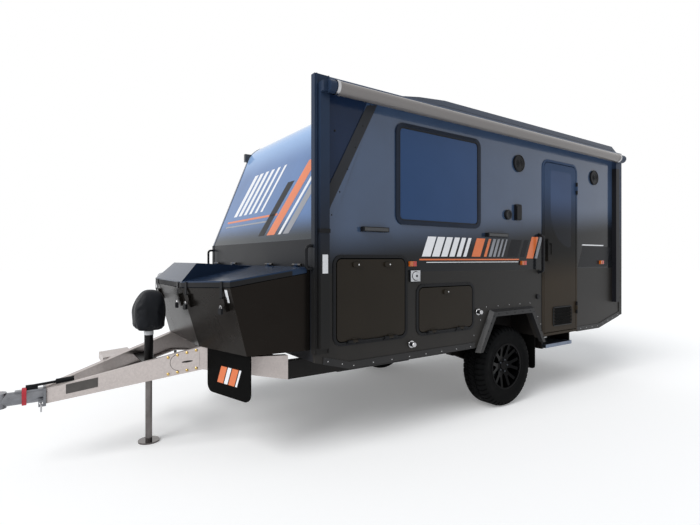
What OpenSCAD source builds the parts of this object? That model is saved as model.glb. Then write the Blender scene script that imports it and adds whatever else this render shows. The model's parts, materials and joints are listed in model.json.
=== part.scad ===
/* [Body] */
// Length of the side walls
body_l = 4300; // [4200:10:4800]
// Width across the side walls
body_w = 2190; // [2150:10:2400]
// Height of the side walls' top edge above the ground
side_top_z = 2700; // [2690:5:2900]
// Height of the ridge between the front wall and the sloped wall
ridge_z = 1560; // [1500:10:1650]
// How far the sloped wall leans back
slope_run = 460; // [400:10:560]
// Radius of the bend between the sloped wall and the roof
bend_r = 280; // [150:10:320]
// Distance of the left side's front joint behind the slope
joint_back = 62; // [40:1:90]
// Height of the straight lower edge of the sides
skirt_z = 625; // [600:1:640]
// Rise of the lower edge towards the nose
nose_rise = 75; // [40:1:100]
// Length over which the nose rises
nose_run = 280; // [200:10:400]
// Rise of the lower edge towards the tail
tail_rise = 120; // [60:5:160]
// Length over which the tail rises
tail_run = 530; // [400:10:600]
// Thickness of the wall panels
wall_t = 35; // [28:1:42]
// Thickness of the floor panel
floor_t = 40; // [30:1:60]
// Step from the sides' lower edge up to the floor's underside
floor_step = 15; // [5:1:30]
// Thickness of the roof panel
roof_t = 45; // [35:1:60]
// Rise of the roof's crown above the side walls
crown_rise = 75; // [40:5:120]
// Length of the ramp in front of the crown
crown_run = 650; // [400:10:900]
// Length of the roof's fall at the tail
crown_back = 150; // [80:5:250]
// Height of the aluminium band along the lower edge
skirt_band = 52; // [40:1:80]
// How far the bands and trims stand out from the walls
trim_proud = 6; // [3:1:12]

/* [Corner posts and awning] */
// Width of the tall front post along the left side
post_w = 104; // [80:1:130]
// How far the tall post stands out
post_proud = 12; // [6:1:20]
// Width of the ribs along the tall post's edges
post_rib = 8; // [4:1:16]
// Height of the front posts' lower ends above the nose
post_lift = 60; // [20:5:120]
// Width of the other corner trims
corner_w = 62; // [40:1:80]
// Width of the strip that covers the slope's joint
strip_w = 65; // [40:1:90]
// Diameter of the rolled awning
awning_d = 100; // [80:1:130]
// Distance of the awning's axis from the side wall
awning_out = 85; // [70:1:120]
// Drop of the awning's axis below the top edge
awning_drop = 100; // [80:1:140]
// Width of an awning arm
arm_w = 72; // [40:1:84]
// How far an awning arm stands out from the wall
arm_proud = 60; // [50:1:80]
// Distance of the rear arm's middle from the tail
rear_arm_back = 180; // [150:5:300]
// Height of the rear arm's lower end
rear_arm_z = 910; // [860:10:1300]
// Distance of the roll's front end behind the nose
awning_start = 105; // [95:5:240]

/* [Window] */
// Distance of the window's front edge behind the nose
window_b = 720; // [700:5:760]
// Height of the window's lower edge
window_z = 1690; // [1650:5:1750]
// Width of the window
window_w = 990; // [600:5:1000]
// Drop of the window's upper edge below the sides' top edge
window_drop = 210; // [180:5:400]
// Width of the window's frame
window_band = 36; // [25:1:50]
// Corner radius of the window's frame
window_r = 75; // [60:1:100]
// Depth of the grooves along the top of the window's frame
groove_d = 3; // [1:0.5:5]
// Thickness of the window pane
pane_t = 12; // [6:1:18]

/* [Entry door] */
// Gap between the arch's flare and the doorway
door_gap = 11; // [4:1:40]
// Width of the doorway
door_w = 650; // [560:5:680]
// Drop of the doorway's upper edge below the sides' top edge
door_drop = 255; // [220:5:400]
// Width of the frame around the door and the hatches
frame_band = 24; // [18:1:34]
// Gap between a frame and its leaf
leaf_gap = 8; // [7:0.5:12]
// Radius of the doorway's upper corners
door_r = 95; // [60:1:120]
// Margin of the door's window at the lock's side
light_front = 145; // [120:1:180]
// Margin of the door's window at the hinges' side
light_back = 121; // [80:1:160]
// Margin of the door's window at the top
light_drop = 105; // [80:1:160]
// Height of the door's window
light_h = 800; // [500:5:820]
// Corner radius of the door's window
light_r = 40; // [25:1:60]
// Distance of a door hinge from the doorway's upper or lower edge
door_hinge_in = 260; // [150:5:400]
// Width of the door's vent
vent_w = 340; // [240:5:360]
// Height of the door's vent
vent_h = 190; // [120:5:220]
// Height of the vent above the doorway's lower edge
vent_lift = 94; // [70:1:160]
// Number of slots in the vent
vent_slots = 5; // [3:1:8]
// Width of the door's lock
lock_w = 76; // [60:1:80]
// Height of the door's lock
lock_h = 230; // [160:5:260]
// Height of the lock's middle above the doorway's lower edge
lock_lift = 880; // [700:10:1000]
// How far the lock stands out
lock_proud = 28; // [16:1:36]

/* [Hatches] */
// Corner radius of the hatch frames
hatch_r = 72; // [60:1:90]
// Height of the hatches' lower edges
hatch_z = 795; // [770:5:830]
// Distance of the tall hatch's front edge behind the nose
tall_hatch_b = 143; // [140:1:160]
// Width of the tall hatch
tall_hatch_w = 700; // [500:5:705]
// Height of the tall hatch
tall_hatch_h = 655; // [400:5:700]
// Gap between the two hatches
hatch_gap = 93; // [90:1:130]
// Gap between the low hatch and the arch's flare
low_hatch_gap = 38; // [20:1:80]
// Height of the low hatch
low_hatch_h = 420; // [300:5:440]
// Width of a hatch latch
latch_w = 76; // [50:1:90]
// Height of a hatch latch
latch_h = 36; // [24:1:44]
// How far the latches stand out
latch_proud = 14; // [8:1:20]
// Drop of a latch below the hatch's upper edge
latch_drop = 72; // [60:1:90]

/* [Hinges] */
// Radius of a hinge pin
pin_r = 5; // [4:0.5:6]
// Running clearance around a hinge pin
pin_clear = 0.05; // [0.02:0.01:0.1]
// Outer radius of a hinge knuckle
knuckle_r = 10; // [9:0.5:11]
// Height of a hinge's axis above the face it is fixed to
hinge_out = 12; // [11:0.5:14]
// Reach of a hinge strap from its axis
strap_l = 22; // [18:1:23]
// Thickness of a hinge strap
strap_t = 5; // [4:0.5:6]
// Length of a hinge
hinge_l = 130; // [60:1:140]
// End play between hinge knuckles
hinge_play = 1; // [0.5:0.1:2]

/* [Wheels] */
// Distance of the axle behind the middle of the body
axle_back = 10; // [0:1:40]
// Outer radius of the tyres
tyre_r = 384; // [360:1:400]
// Width of the tyres
tyre_w = 245; // [205:1:255]
// Radius of the tyre's bead seat
rim_r = 222; // [205:1:235]
// Radius of the tyre's shoulders
shoulder_r = 62; // [40:1:64]
// Thickness of the tyre under its tread
tread_t = 24; // [16:1:32]
// Thickness of the tyre's side walls
tyre_side_t = 16; // [10:1:22]
// Inset of the tyre's outer face from the side wall
wheel_inset = 40; // [37:1:60]
// Number of split spokes
spokes = 6; // [5:1:8]
// Half the width of a spoke's stem
spoke_w = 33; // [24:1:38]
// Radius at which a spoke forks
fork_r = 118; // [105:1:135]
// Half the width of the fork at the rim
fork_w = 78; // [60:1:86]
// Thickness of the spokes along the axle
spoke_t = 30; // [20:1:40]
// Depth of the dished face behind the tyre's outer face
dish_depth = 52; // [40:1:70]
// Thickness of the rim's barrel
barrel_t = 9; // [6:1:14]
// Radius of the wheel's hub
hub_r = 75; // [66:1:84]
// Number of wheel nuts
nuts = 6; // [5:1:8]
// Radius of the brake drum
drum_r = 145; // [120:1:170]
// Radius of the stub axle
stub_r = 25; // [20:1:32]
// Running clearance around the stub axle
stub_clear = 0.05; // [0.02:0.01:0.1]

/* [Wheel arches] */
// Width of the arch opening at its top
arch_top_w = 545; // [500:5:560]
// Width of the arch opening at the lower edge
arch_low_w = 862; // [840:2:866]
// Height of the arch opening's top
arch_z = 893; // [870:1:920]
// Width of the flare's band
flare_band = 60; // [40:1:62]
// How far the flares stand out
flare_proud = 45; // [30:1:60]
// Bevel around the flare's outer face
flare_bevel = 18; // [8:1:24]
// Thickness of the wheel box's sheets
box_t = 12; // [6:1:20]
// Room in the wheel box before, behind and above the arch
box_room = 30; // [20:1:60]
// Room in the wheel box beside the tyre
box_side = 65; // [50:1:100]

/* [Chassis and drawbar] */
// Depth of the chassis rails
rail_h = 140; // [100:5:160]
// Width of the chassis rails
rail_w = 60; // [40:1:70]
// Distance of a chassis rail's middle from the side wall's face
rail_in = 441; // [430:1:480]
// Reach of the coupling's nose ahead of the body
drawbar_l = 1850; // [1800:10:2000]
// Distance from the coupling's nose back to the drawbar's front end
coupling_l = 320; // [300:5:360]
// Distance of a drawbar rail's outer face from the centre plane at its front end
drawbar_tip_y = 75; // [70:1:85]
// Width of a drawbar rail, a channel that opens inwards
drawbar_t = 50; // [40:1:56]
// Thickness of the channel's web and flanges
drawbar_web = 9; // [6:1:12]
// Height of the drawbar's lower edge at its front end
drawbar_low_z = 430; // [400:5:460]
// Depth of the drawbar at its front end
drawbar_tip_h = 93; // [80:1:110]
// Depth of the drawbar under the toolbox
drawbar_deep_h = 170; // [150:1:180]
// Radius of the coupling's ball socket
socket_r = 25.5; // [25:0.1:30]
// Radius of the coupling's round body
coupling_r = 44; // [38:1:50]
// Radius of the holes for the safety chains
lug_hole_r = 11; // [9:0.5:13]
// Thickness of the safety chain lugs
lug_t = 14; // [10:1:20]
// Reach of the rear bumper behind the body
bumper_reach = 50; // [40:1:80]
// Height of the rear bumper
bumper_h = 80; // [50:1:120]
// Inset of the bumper's ends from the sides
bumper_in = 195; // [100:5:300]
// Length of a suspension arm from its pivot to the axle
arm_l = 420; // [380:5:460]
// Width of a suspension arm
arm_t = 70; // [50:1:80]
// Radius of a spring's bellows
bellows_r = 50; // [36:1:52]

/* [Jack] */
// Distance of the jack ahead of the body
jack_f = 860; // [850:5:960]
// Radius of the jack's outer tube
jack_r = 32.5; // [28:0.5:38]
// Radius of the jack's inner leg
leg_r = 25; // [20:0.5:26]
// Radius of the jack's foot
foot_r = 78; // [60:1:100]
// Height of the cover's lower edge
cover_z = 865; // [840:5:900]
// Width of the jack's cover
cover_w = 235; // [180:1:240]
// Height of the jack's cover
cover_h = 325; // [260:5:330]
// Rounding of the cover's top
cover_r = 88; // [50:1:110]
// Clearance of the soft cover above the tube
cover_clear = 0.3; // [0.2:0.1:1]

/* [Toolbox] */
// Gap between the toolbox and the front wall
toolbox_gap = 6; // [4:1:12]
// Height of the toolbox's floor
toolbox_z = 780; // [775:1:800]
// Height of the lid's back edge
lid_back_z = 1365; // [1330:5:1400]
// Fall of the lid from its back edge to its front edge
lid_fall = 108; // [80:2:130]
// Reach of the lid's front edge ahead of the body
lid_f = 720; // [690:2:722]
// Reach of the lid's side corners ahead of the body
lid_corner_f = 570; // [500:5:600]
// Inset of the lid's front edge from the body's sides
lid_front_in = 680; // [600:5:760]
// Inset of the lid's side corners from the body's sides
lid_side_in = 95; // [90:5:160]
// Inset of the lid's back edge from the body's sides
lid_back_in = 67; // [64:1:90]
// How far the toolbox's front leans in towards its floor
toolbox_lean = 120; // [60:5:140]
// Thickness of the toolbox's sheets
toolbox_t = 12; // [8:1:20]
// Depth of the lid's lip
lid_lip = 42; // [30:1:60]
// Gap for the lid's seal
seal_gap = 5; // [5:0.5:8]
// Height of the raised middle of the lid above its front edge
hump_h = 132; // [120:1:145]
// Width of a toolbox latch
box_latch_w = 46; // [30:1:60]
// Height of a toolbox latch
box_latch_h = 92; // [60:1:110]
// How far a toolbox latch stands out
box_latch_d = 20; // [12:1:30]

/* [Flaps, step and tank] */
// Thickness of the rubber flaps
flap_t = 10; // [6:1:14]
// Clearance between the front flaps and the drawbar
flap_clear = 15; // [8:1:30]
// Drop of the front flaps
front_flap_h = 320; // [240:5:340]
// Height of the rear flaps' lower edge
rear_flap_z = 300; // [260:5:400]
// Width of the step's tray
step_w = 480; // [400:5:520]
// Depth of the step's tray
step_d = 260; // [200:5:280]
// Distance of the water tank behind the nose
tank_b = 500; // [300:10:600]
// Length of the water tank
tank_l = 800; // [600:10:900]
// Depth of the water tank
tank_h = 170; // [120:5:180]

/* [Lamps and fittings] */
// Height of the side markers' lower edge
marker_z = 1361; // [1300:1:1420]
// Length of a side marker
marker_l = 68; // [50:1:90]
// Height of a side marker
marker_h = 40; // [24:1:60]
// How far the lamps stand out
lamp_proud = 22; // [12:1:36]
// Height of the tail lamps
tail_lamp_h = 300; // [160:5:400]
// Width of the tail lamps
tail_lamp_w = 90; // [60:1:140]
// Radius of a speaker
speaker_r = 82; // [60:1:100]
// Drop of the speakers' middles below the sides' top edge
speaker_drop = 355; // [300:5:420]
// Height of a lamp bar
bar_h = 36; // [24:1:50]
// Gap between the lamp bars and the window's lower edge
bar_gap = 32; // [16:1:60]
// Width of the socket box
socket_w = 86; // [60:1:120]
// Height of the socket box
socket_h = 152; // [100:1:200]
// Drop of the socket box's middle below the sides' top edge
socket_drop = 831; // [780:1:900]
// Width of the filler's plate
filler_w = 108; // [80:1:120]
// Height of the filler's plate
filler_h = 96; // [70:1:110]
// Radius of the round outlet
outlet_r = 47; // [30:1:60]
// Radius of a tap's plate
tap_r = 30; // [20:1:40]
// Radius of a grab handle's bar
grip_r = 11; // [9:0.5:16]
// Height of the front grab handles' lower ends
front_grip_z = 1352; // [1200:2:1400]
// Length of the front grab handles
front_grip_l = 158; // [120:2:200]
// Height of the door grip's lower end
door_grip_z = 1290; // [1100:10:1400]
// Length of the door grip
door_grip_l = 370; // [250:5:450]

/* [Hidden] */
$fn = 48;
half_w = body_w / 2;
inner_w = half_w - wall_t;
body_end = bumper_reach + body_l;
front_x = (drawbar_l + body_end) / 2 - drawbar_l;
rear_x = front_x - body_l;
centre_y = -(awning_out + awning_d / 2 - flare_proud) / 2;
nose_z = skirt_z + nose_rise;
tail_z = skirt_z + tail_rise;
tail_b = body_l - tail_run;
floor_z = skirt_z + floor_step;
slope_angle = atan2(side_top_z - ridge_z, slope_run);
bend_l = bend_r * tan(slope_angle / 2);
roof_b = slope_run + bend_l;
// The sloped wall's outward direction in X and Z, and the place where its bend starts
slope_out = [sin(slope_angle), cos(slope_angle)];
bend_start = [front_x - roof_b, side_top_z - bend_r] + bend_r * slope_out;
face_y = half_w + trim_proud;
wheel_b = body_l / 2 + axle_back;
arch_half = arch_low_w / 2 + flare_band;
door_b = wheel_b + arch_half + door_gap;
door_top_z = side_top_z - door_drop;
window_h = side_top_z - window_drop - window_z;
low_hatch_b = tall_hatch_b + tall_hatch_w + hatch_gap;
low_hatch_w = wheel_b - arch_half - low_hatch_gap - low_hatch_b;
rear_arm_b = body_l - rear_arm_back;
rail_y = half_w - rail_in;
rail_out_y = rail_y + rail_w / 2;
drawbar_angle = atan2(rail_out_y - drawbar_tip_y, drawbar_l - coupling_l);
lid_front_y = half_w - lid_front_in;
lid_side_y = half_w - lid_side_in;
lid_back_y = half_w - lid_back_in;
wheel_x = front_x - wheel_b;
wheel_y = half_w - wheel_inset - tyre_w / 2;
// The pull-out step sits under the doorway
step_z = 500;
step_h = 36;
step_b = door_b + door_w / 2;
step_gap = 5;
slide_clear = 0.3;
rail_low_z = floor_z - rail_h;
tall_hatch = [tall_hatch_b, hatch_z, tall_hatch_w, tall_hatch_h];
low_hatch = [low_hatch_b, hatch_z, low_hatch_w, low_hatch_h];
door_z = skirt_z + trim_proud;
doorway = [door_b, door_z, door_w, door_top_z - door_z];
window = [window_b, window_z, window_w, window_h];
door_leaf_edge = front_x - door_b - door_w + frame_band + leaf_gap;
door_axis = [door_leaf_edge - leaf_gap / 2, face_y + hinge_out];
// Heights of the door's two hinges
door_hinge_zs = [door_z + door_hinge_in, door_top_z - door_hinge_in];
lid_axis = [front_x + toolbox_gap + strap_l, lid_back_z + hinge_out];
// Places of the lid's hinges across the toolbox
lid_hinge_in = 148;
lid_hinge_pitch = 480;
lid_hinge_ys = [for (s = [-1, 1], i = [0, 1]) s * (lid_back_y - lid_hinge_in - i * lid_hinge_pitch)];
// Radial room between a bead and its seat, and the height of the drawbar's middle at its front end
bead_clear = 0.1;
pane_clear = 0.2;
tip_z = drawbar_low_z + drawbar_tip_h / 2;
// Height of the spring's seat on a suspension arm
spring_z = 510;
// Rise of the handbrake's seat above the coupling's round body
seat_h = 6;

// X of a place given by its distance behind the nose
function at(b) = front_x - b;
// Height of the sides' lower edge at a distance behind the nose
function under_z(b) = b < nose_run ? nose_z - nose_rise * b / nose_run
    : b < tail_b ? skirt_z : skirt_z + tail_rise * (b - tail_b) / tail_run;
// Height of the lid's top plane at a reach ahead of the body
function lid_z(f) = lid_back_z - lid_fall * (f - lid_back_f()) / (lid_f - lid_back_f());
// Reach of a drawbar rail's face from the centre plane, at a depth in from its outer face
function drawbar_y(f, depth = 0) = drawbar_tip_y - depth / cos(drawbar_angle)
    + (drawbar_l - coupling_l - f) * tan(drawbar_angle);
// A share of the way along the wall from the window to the doorway
function wall_b(share) = window_b + window_w + share * (door_b - window_b - window_w);
// Reach of the lid's back edge, clear of the hinge axis
function lid_back_f() = toolbox_gap + strap_l + 2;

// Moves the trailer so that its box is centred on the origin
module placed() translate([0, centre_y, 0]) children();

module both_sides() {
    children();
    mirror([0, 1, 0]) children();
}

// An outline drawn in X and Z, as a slab between two places across the trailer
module slab(y0, y1) translate([0, y1, 0]) rotate([90, 0, 0]) linear_extrude(y1 - y0) children();

module round_rect(w, h, r) {
    square([w - 2 * r, h], center = true);
    square([w, h - 2 * r], center = true);
    for (i = [-1, 1], j = [-1, 1]) translate([i * (w / 2 - r), j * (h / 2 - r)]) circle(r);
}

// A rounded panel given as [distance behind the nose, lower edge, width, height], made smaller by inset
module panel(place, r, inset = 0) {
    translate([at(place[0] + place[2] / 2), place[1] + place[3] / 2])
        round_rect(place[2] - 2 * inset, place[3] - 2 * inset, r - inset);
}

module panel_frame(place, r, band, y0, y1) {
    difference() {
        slab(y0, y1) panel(place, r);
        slab(y0 - 1, y1 + 1) panel(place, r, band);
    }
}

// Fixed half of a hinge, its axis along Z, the face it sits on below the axis along Y
module hinge_fixed() {
    end_l = hinge_l / 3 - hinge_play;
    cylinder(r = pin_r, h = hinge_l - hinge_play, center = true);
    for (s = [-1, 1]) translate([0, 0, s * hinge_l / 3]) {
        cylinder(r = knuckle_r, h = end_l, center = true);
        translate([-strap_l, -hinge_out, -end_l / 2]) cube([strap_l, strap_t, end_l]);
    }
}

// Moving half of a hinge, its strap reaching down by sink into the leaf's face
module hinge_moving(sink = 1) {
    mid_l = hinge_l / 3 - hinge_play;
    difference() {
        union() {
            cylinder(r = knuckle_r, h = mid_l, center = true);
            translate([0, -hinge_out - sink, -mid_l / 2]) cube([strap_l, strap_t + sink, mid_l]);
        }
        cylinder(r = pin_r + pin_clear, h = hinge_l, center = true);
    }
}

module floor_panel() color("dimgray") difference() {
    slab(-inner_w, inner_w) polygon([
        [at(wall_t), under_z(wall_t) + floor_step], [at(nose_run), floor_z],
        [at(tail_b), floor_z], [rear_x + wall_t, under_z(body_l - wall_t) + floor_step],
        [rear_x + wall_t, under_z(body_l - wall_t) + floor_step + floor_t],
        [at(tail_b), floor_z + floor_t], [at(nose_run), floor_z + floor_t],
        [at(wall_t), under_z(wall_t) + floor_step + floor_t]]);
    both_sides() wheel_box_space(0, floor_z - 1);
}

// The arch's opening, made wider all round by grow
module arch_opening(grow = 0) {
    low = skirt_z - 60;
    lean = (arch_low_w - arch_top_w) / 2;
    foot = arch_low_w / 2 + lean * (skirt_z - low) / (arch_z - skirt_z);
    polygon([[wheel_x + foot + grow, low], [wheel_x + arch_top_w / 2 + grow * 0.7, arch_z + grow],
        [wheel_x - arch_top_w / 2 - grow * 0.7, arch_z + grow], [wheel_x - foot - grow, low]]);
}

// Outline of a side, its front edge above the ridge given by points
module side_outline(front_edge) polygon(concat([[at(0), nose_z], [at(0), ridge_z]], front_edge,
    [[rear_x, side_top_z], [rear_x, tail_z], [at(tail_b), skirt_z], [at(nose_run), skirt_z]]));

module left_outline()
    side_outline([[at(joint_back), ridge_z], [at(slope_run + joint_back), side_top_z]]);

module right_outline() {
    side_outline([bend_start, [at(roof_b), side_top_z]]);
    translate([at(roof_b), side_top_z - bend_r]) circle(bend_r);
}

// The doorway, made smaller by inset, with square lower corners
module door_outline(inset = 0) {
    panel(doorway, door_r, inset);
    translate([at(door_b + door_w - inset), door_z + inset]) square([door_w - 2 * inset, door_r]);
}

// Arch, window and hatch openings of a side
module side_cuts(hatches) slab(inner_w - 1, half_w + 1) {
    arch_opening();
    panel(window, window_r);
    for (place = hatches) panel(place, hatch_r);
}

module side_wall_left() color("slategray") difference() {
    slab(inner_w, half_w) left_outline();
    side_cuts([tall_hatch, low_hatch]);
    slab(inner_w - 1, half_w + 1) {
        door_outline();
        translate([at(door_b + door_w), skirt_z - 1]) square([door_w, door_r + 1]);
    }
}

module side_wall_right() color("slategray") mirror([0, 1, 0]) difference() {
    slab(inner_w, half_w) right_outline();
    side_cuts([tall_hatch]);
}

module front_wall() color("dimgray") slab(-inner_w, inner_w)
    translate([at(wall_t), nose_z]) square([wall_t, ridge_z - nose_z]);

// A band along the slope and its bend, with its outer edge on the slope
module slope_band(t) {
    polygon([[at(0), ridge_z], bend_start, bend_start - t * slope_out, [at(t / sin(slope_angle)), ridge_z]]);
    translate([at(roof_b), side_top_z - bend_r]) intersection() {
        difference() {
            circle(bend_r);
            circle(bend_r - t);
        }
        polygon(2 * bend_r * [[0, 0], slope_out, slope_out + [0, 1], [0, 1]]);
    }
}

// The sloped wall, bent over into the roof
module slope_wall() color("slategray") slab(-inner_w, inner_w) slope_band(wall_t);

// The roof is one sheet, bent up to its crown, with its lower face roof_t below its upper face
module roof_panel() {
    // Share of the ramp behind the bend, and share of the crown's rise
    ramp = [[0, 0], [0.08, 0], [0.55, 0.64], [1, 1]];
    upper = concat([for (p = ramp) [at(roof_b + p[0] * crown_run), side_top_z + p[1] * crown_rise]],
        [[rear_x + crown_back, side_top_z + crown_rise], [rear_x, side_top_z]]);
    lower = [for (i = [len(upper) - 1:-1:0]) upper[i] - [0, roof_t]];
    color("darkslategray") slab(-inner_w, inner_w) polygon(concat(upper, lower));
}

module rear_wall() color("slategray") slab(-inner_w, inner_w)
    translate([rear_x, tail_z]) square([wall_t, side_top_z - roof_t - tail_z]);

// Only the awning's side has a wing ahead of the slope
module wing_panel() color("midnightblue") slab(inner_w, half_w)
    polygon([[at(0), ridge_z], [at(joint_back), ridge_z], [at(slope_run + joint_back), side_top_z],
        [at(0), side_top_z]]);

// Plan of an angle trim around a front corner
module corner_plan(w, proud) {
    translate([at(w), half_w]) square([w + proud, proud]);
    translate([at(0), inner_w]) square([proud, wall_t + proud]);
}

module corner_posts() color("dimgray") {
    post_z = nose_z + post_lift;
    rib_h = trim_proud;
    translate([0, 0, post_z]) linear_extrude(side_top_z - post_z) {
        corner_plan(post_w, post_proud);
        for (b = [post_w, post_rib]) translate([at(b), half_w + post_proud]) square([post_rib, rib_h]);
    }
    mirror([0, 1, 0]) translate([0, 0, post_z]) linear_extrude(ridge_z - post_z)
        corner_plan(corner_w, trim_proud);
    both_sides() translate([0, 0, tail_z]) linear_extrude(side_top_z - tail_z) {
        translate([rear_x - trim_proud, half_w]) square([corner_w + trim_proud, trim_proud]);
        translate([rear_x - trim_proud, inner_w]) square([trim_proud, wall_t]);
    }
}

module trim_strips() color("dimgray") {
    // The left strip covers the joint behind the wing
    slab(half_w, half_w + trim_proud) intersection() {
        polygon([for (p = [[0, 1], [1, 1], [1, -1], [0, -1]])
            [at(joint_back + p[0] * slope_run) + p[1] * strip_w / 2,
                ridge_z + p[0] * (side_top_z - ridge_z)]]);
        translate([at(slope_run + post_w), ridge_z])
            square([slope_run, side_top_z - ridge_z - skirt_band]);
    }
    mirror([0, 1, 0]) slab(half_w, half_w + trim_proud) slope_band(skirt_band);
    // The top rails: the left one starts at the post, the right one behind the bend
    for (rail = [[0, post_w], [1, roof_b]]) mirror([0, rail[0], 0])
        translate([rear_x + corner_w, half_w, side_top_z - skirt_band])
            cube([body_l - corner_w - rail[1], trim_proud, skirt_band]);
}

// The band along the lower edge, in front of the arch and behind the arch or the doorway
module skirt_band_piece(b0, b1) slab(half_w, half_w + trim_proud) intersection() {
    difference() {
        left_outline();
        translate([0, skirt_band]) left_outline();
    }
    translate([at(b1), 0]) square([b1 - b0, ridge_z]);
}

module skirt_bands() color("gray") {
    arch_b = wheel_b - arch_half - box_room;
    both_sides() skirt_band_piece(corner_w, arch_b);
    skirt_band_piece(door_b + door_w, body_l - corner_w);
    mirror([0, 1, 0]) skirt_band_piece(2 * wheel_b - arch_b, body_l - corner_w);
}

// Space of a wheel box, made smaller by inset
module wheel_box_space(inset, low) {
    l = arch_low_w + 2 * box_room;
    d = tyre_w + box_side;
    top = arch_z + box_room + box_t;
    translate([wheel_x - l / 2 + inset, inner_w - d + inset, low])
        cube([l - 2 * inset, d - inset + (inset > 0 ? 1 : 0), top - inset - low]);
}

module wheel_boxes() color("black") both_sides() difference() {
    wheel_box_space(0, floor_z);
    wheel_box_space(box_t, floor_z - 1);
}

module arch_flares() color("dimgray") both_sides() difference() {
    hull() {
        slab(half_w, half_w + 1) arch_opening(flare_band);
        slab(half_w + flare_proud - 1, half_w + flare_proud) arch_opening(flare_band - flare_bevel);
    }
    slab(half_w - 1, half_w + flare_proud + 1) arch_opening();
    translate([wheel_x - arch_low_w, half_w - 1, 0])
        cube([2 * arch_low_w, flare_proud + 2, skirt_z - 40]);
}

// A rail that steps down under the rear wall
module chassis_rail() color("black") slab(rail_y - rail_w / 2, rail_out_y) polygon([
    [at(0), rail_low_z], [at(0), floor_z], [at(tail_b), floor_z],
    [rear_x + wall_t, under_z(body_l - wall_t) + floor_step], [rear_x + wall_t, tail_z],
    [rear_x, tail_z], [rear_x, tail_z + floor_step - rail_h], [at(tail_b), rail_low_z]]);

module chassis_rail_left() chassis_rail();

module chassis_rail_right() mirror([0, 1, 0]) chassis_rail();

module cross_members() color("black") {
    member_h = rail_h - rail_w;
    // Distances behind the nose: at the front, behind the tank, behind the wheels and near the tail
    for (b = [wall_t, tank_b + tank_l + tank_h, wheel_b + arm_l, tail_b - tank_h])
        translate([at(b + rail_w), -rail_y + rail_w / 2, rail_low_z + rail_w / 3])
            cube([rail_w, 2 * rail_y - rail_w, member_h]);
}

// A tapered channel, its foot meeting the chassis rail's front end, its open side inwards
module drawbar_rail() {
    tip_f = drawbar_l - coupling_l;
    over = 60;
    deep_f = lid_f - toolbox_lean - 20;
    seat_l = 100;
    foot_rise = 45;
    run = 1 / cos(drawbar_angle);
    low_z = tip_z - drawbar_tip_h / 2 - over / 6;
    // Reach ahead of the body, height, and 1 on the upper edge or -1 on the lower edge
    side = [[tip_f + over, low_z, -1], [deep_f, toolbox_z - drawbar_deep_h, -1], [0, rail_low_z, -1],
        [0, floor_z + foot_rise, 1], [deep_f - 1.4 * seat_l, floor_z + foot_rise, 1],
        [deep_f - seat_l, toolbox_z, 1], [deep_f, toolbox_z, 1],
        [tip_f + over, low_z + drawbar_tip_h, 1]];
    difference() {
        translate([front_x + tip_f, drawbar_tip_y, 0]) rotate([0, 0, 180 - drawbar_angle]) difference() {
            slab(0, drawbar_t) polygon([for (p = side) [(tip_f - p[0]) * run, p[1]]]);
            slab(drawbar_web, drawbar_t + 1)
                polygon([for (p = side) [(tip_f - p[0]) * run, p[1] - p[2] * drawbar_web]]);
        }
        translate([front_x + tip_f, -half_w, 0]) cube([coupling_l, body_w, side_top_z]);
        translate([front_x - drawbar_t, -half_w, 0]) cube([drawbar_t, body_w, side_top_z]);
    }
}

module drawbar_left() color("silver") drawbar_rail();

module drawbar_right() color("silver") mirror([0, 1, 0]) drawbar_rail();

// A folded tray on the right rail's outer face
module drawbar_tray() color("silver") mirror([0, 1, 0]) {
    tray_l = 230;
    tray_ahead = 60;
    tray_drop = 145;
    reach = 290;
    lip_h = 45;
    back_f = jack_f + tray_ahead;
    front_f = back_f + tray_l;
    tray_z = toolbox_z - tray_drop;
    translate([front_x, 0, tray_z]) linear_extrude(drawbar_web) polygon([
        [front_f, drawbar_y(front_f)], [front_f, drawbar_y(front_f) + reach],
        [back_f, drawbar_y(back_f) + reach], [back_f, drawbar_y(back_f)]]);
    for (f = [back_f + drawbar_web, front_f])
        translate([front_x + f - drawbar_web, drawbar_y(f - drawbar_web), tray_z - lip_h])
            cube([drawbar_web, reach, lip_h]);
}

// Mounting plate with two chain lugs, round body and head with a ball socket that opens downwards
module coupling() color("dimgray") {
    tip_x = front_x + drawbar_l - coupling_l;
    head_r = 2 * socket_r;
    head_h = 100;
    socket_h = 60;
    head_x = front_x + drawbar_l - head_r;
    plate_t = 15;
    plate_h = 120;
    lug_y = drawbar_tip_y + 10;
    lug_l = 4 * lug_hole_r;
    difference() {
        union() {
            translate([tip_x, -lug_y, tip_z - plate_h / 2]) cube([plate_t, 2 * lug_y, plate_h]);
            for (y = [-lug_y, lug_y - lug_t]) translate([tip_x, y, tip_z - plate_h / 2])
                cube([lug_l, lug_t, lug_l]);
            translate([tip_x, 0, tip_z]) rotate([0, 90, 0]) cylinder(r = coupling_r, h = head_x - tip_x);
            // Raised seat of the handbrake's bracket
            translate([tip_x + plate_t, -coupling_r / 2, tip_z])
                cube([coupling_l / 2, coupling_r, coupling_r + seat_h]);
            translate([head_x, 0, tip_z - head_h / 2]) cylinder(r = head_r, h = head_h);
        }
        translate([head_x, 0, tip_z - head_h / 2 - 1]) cylinder(r = socket_r, h = socket_h + 1);
        translate([tip_x + plate_t + 1.2 * lug_hole_r, lug_y + 1, tip_z - plate_h / 2 + lug_l / 2])
            rotate([90, 0, 0]) cylinder(r = lug_hole_r, h = 2 * lug_y + 2);
    }
}

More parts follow.
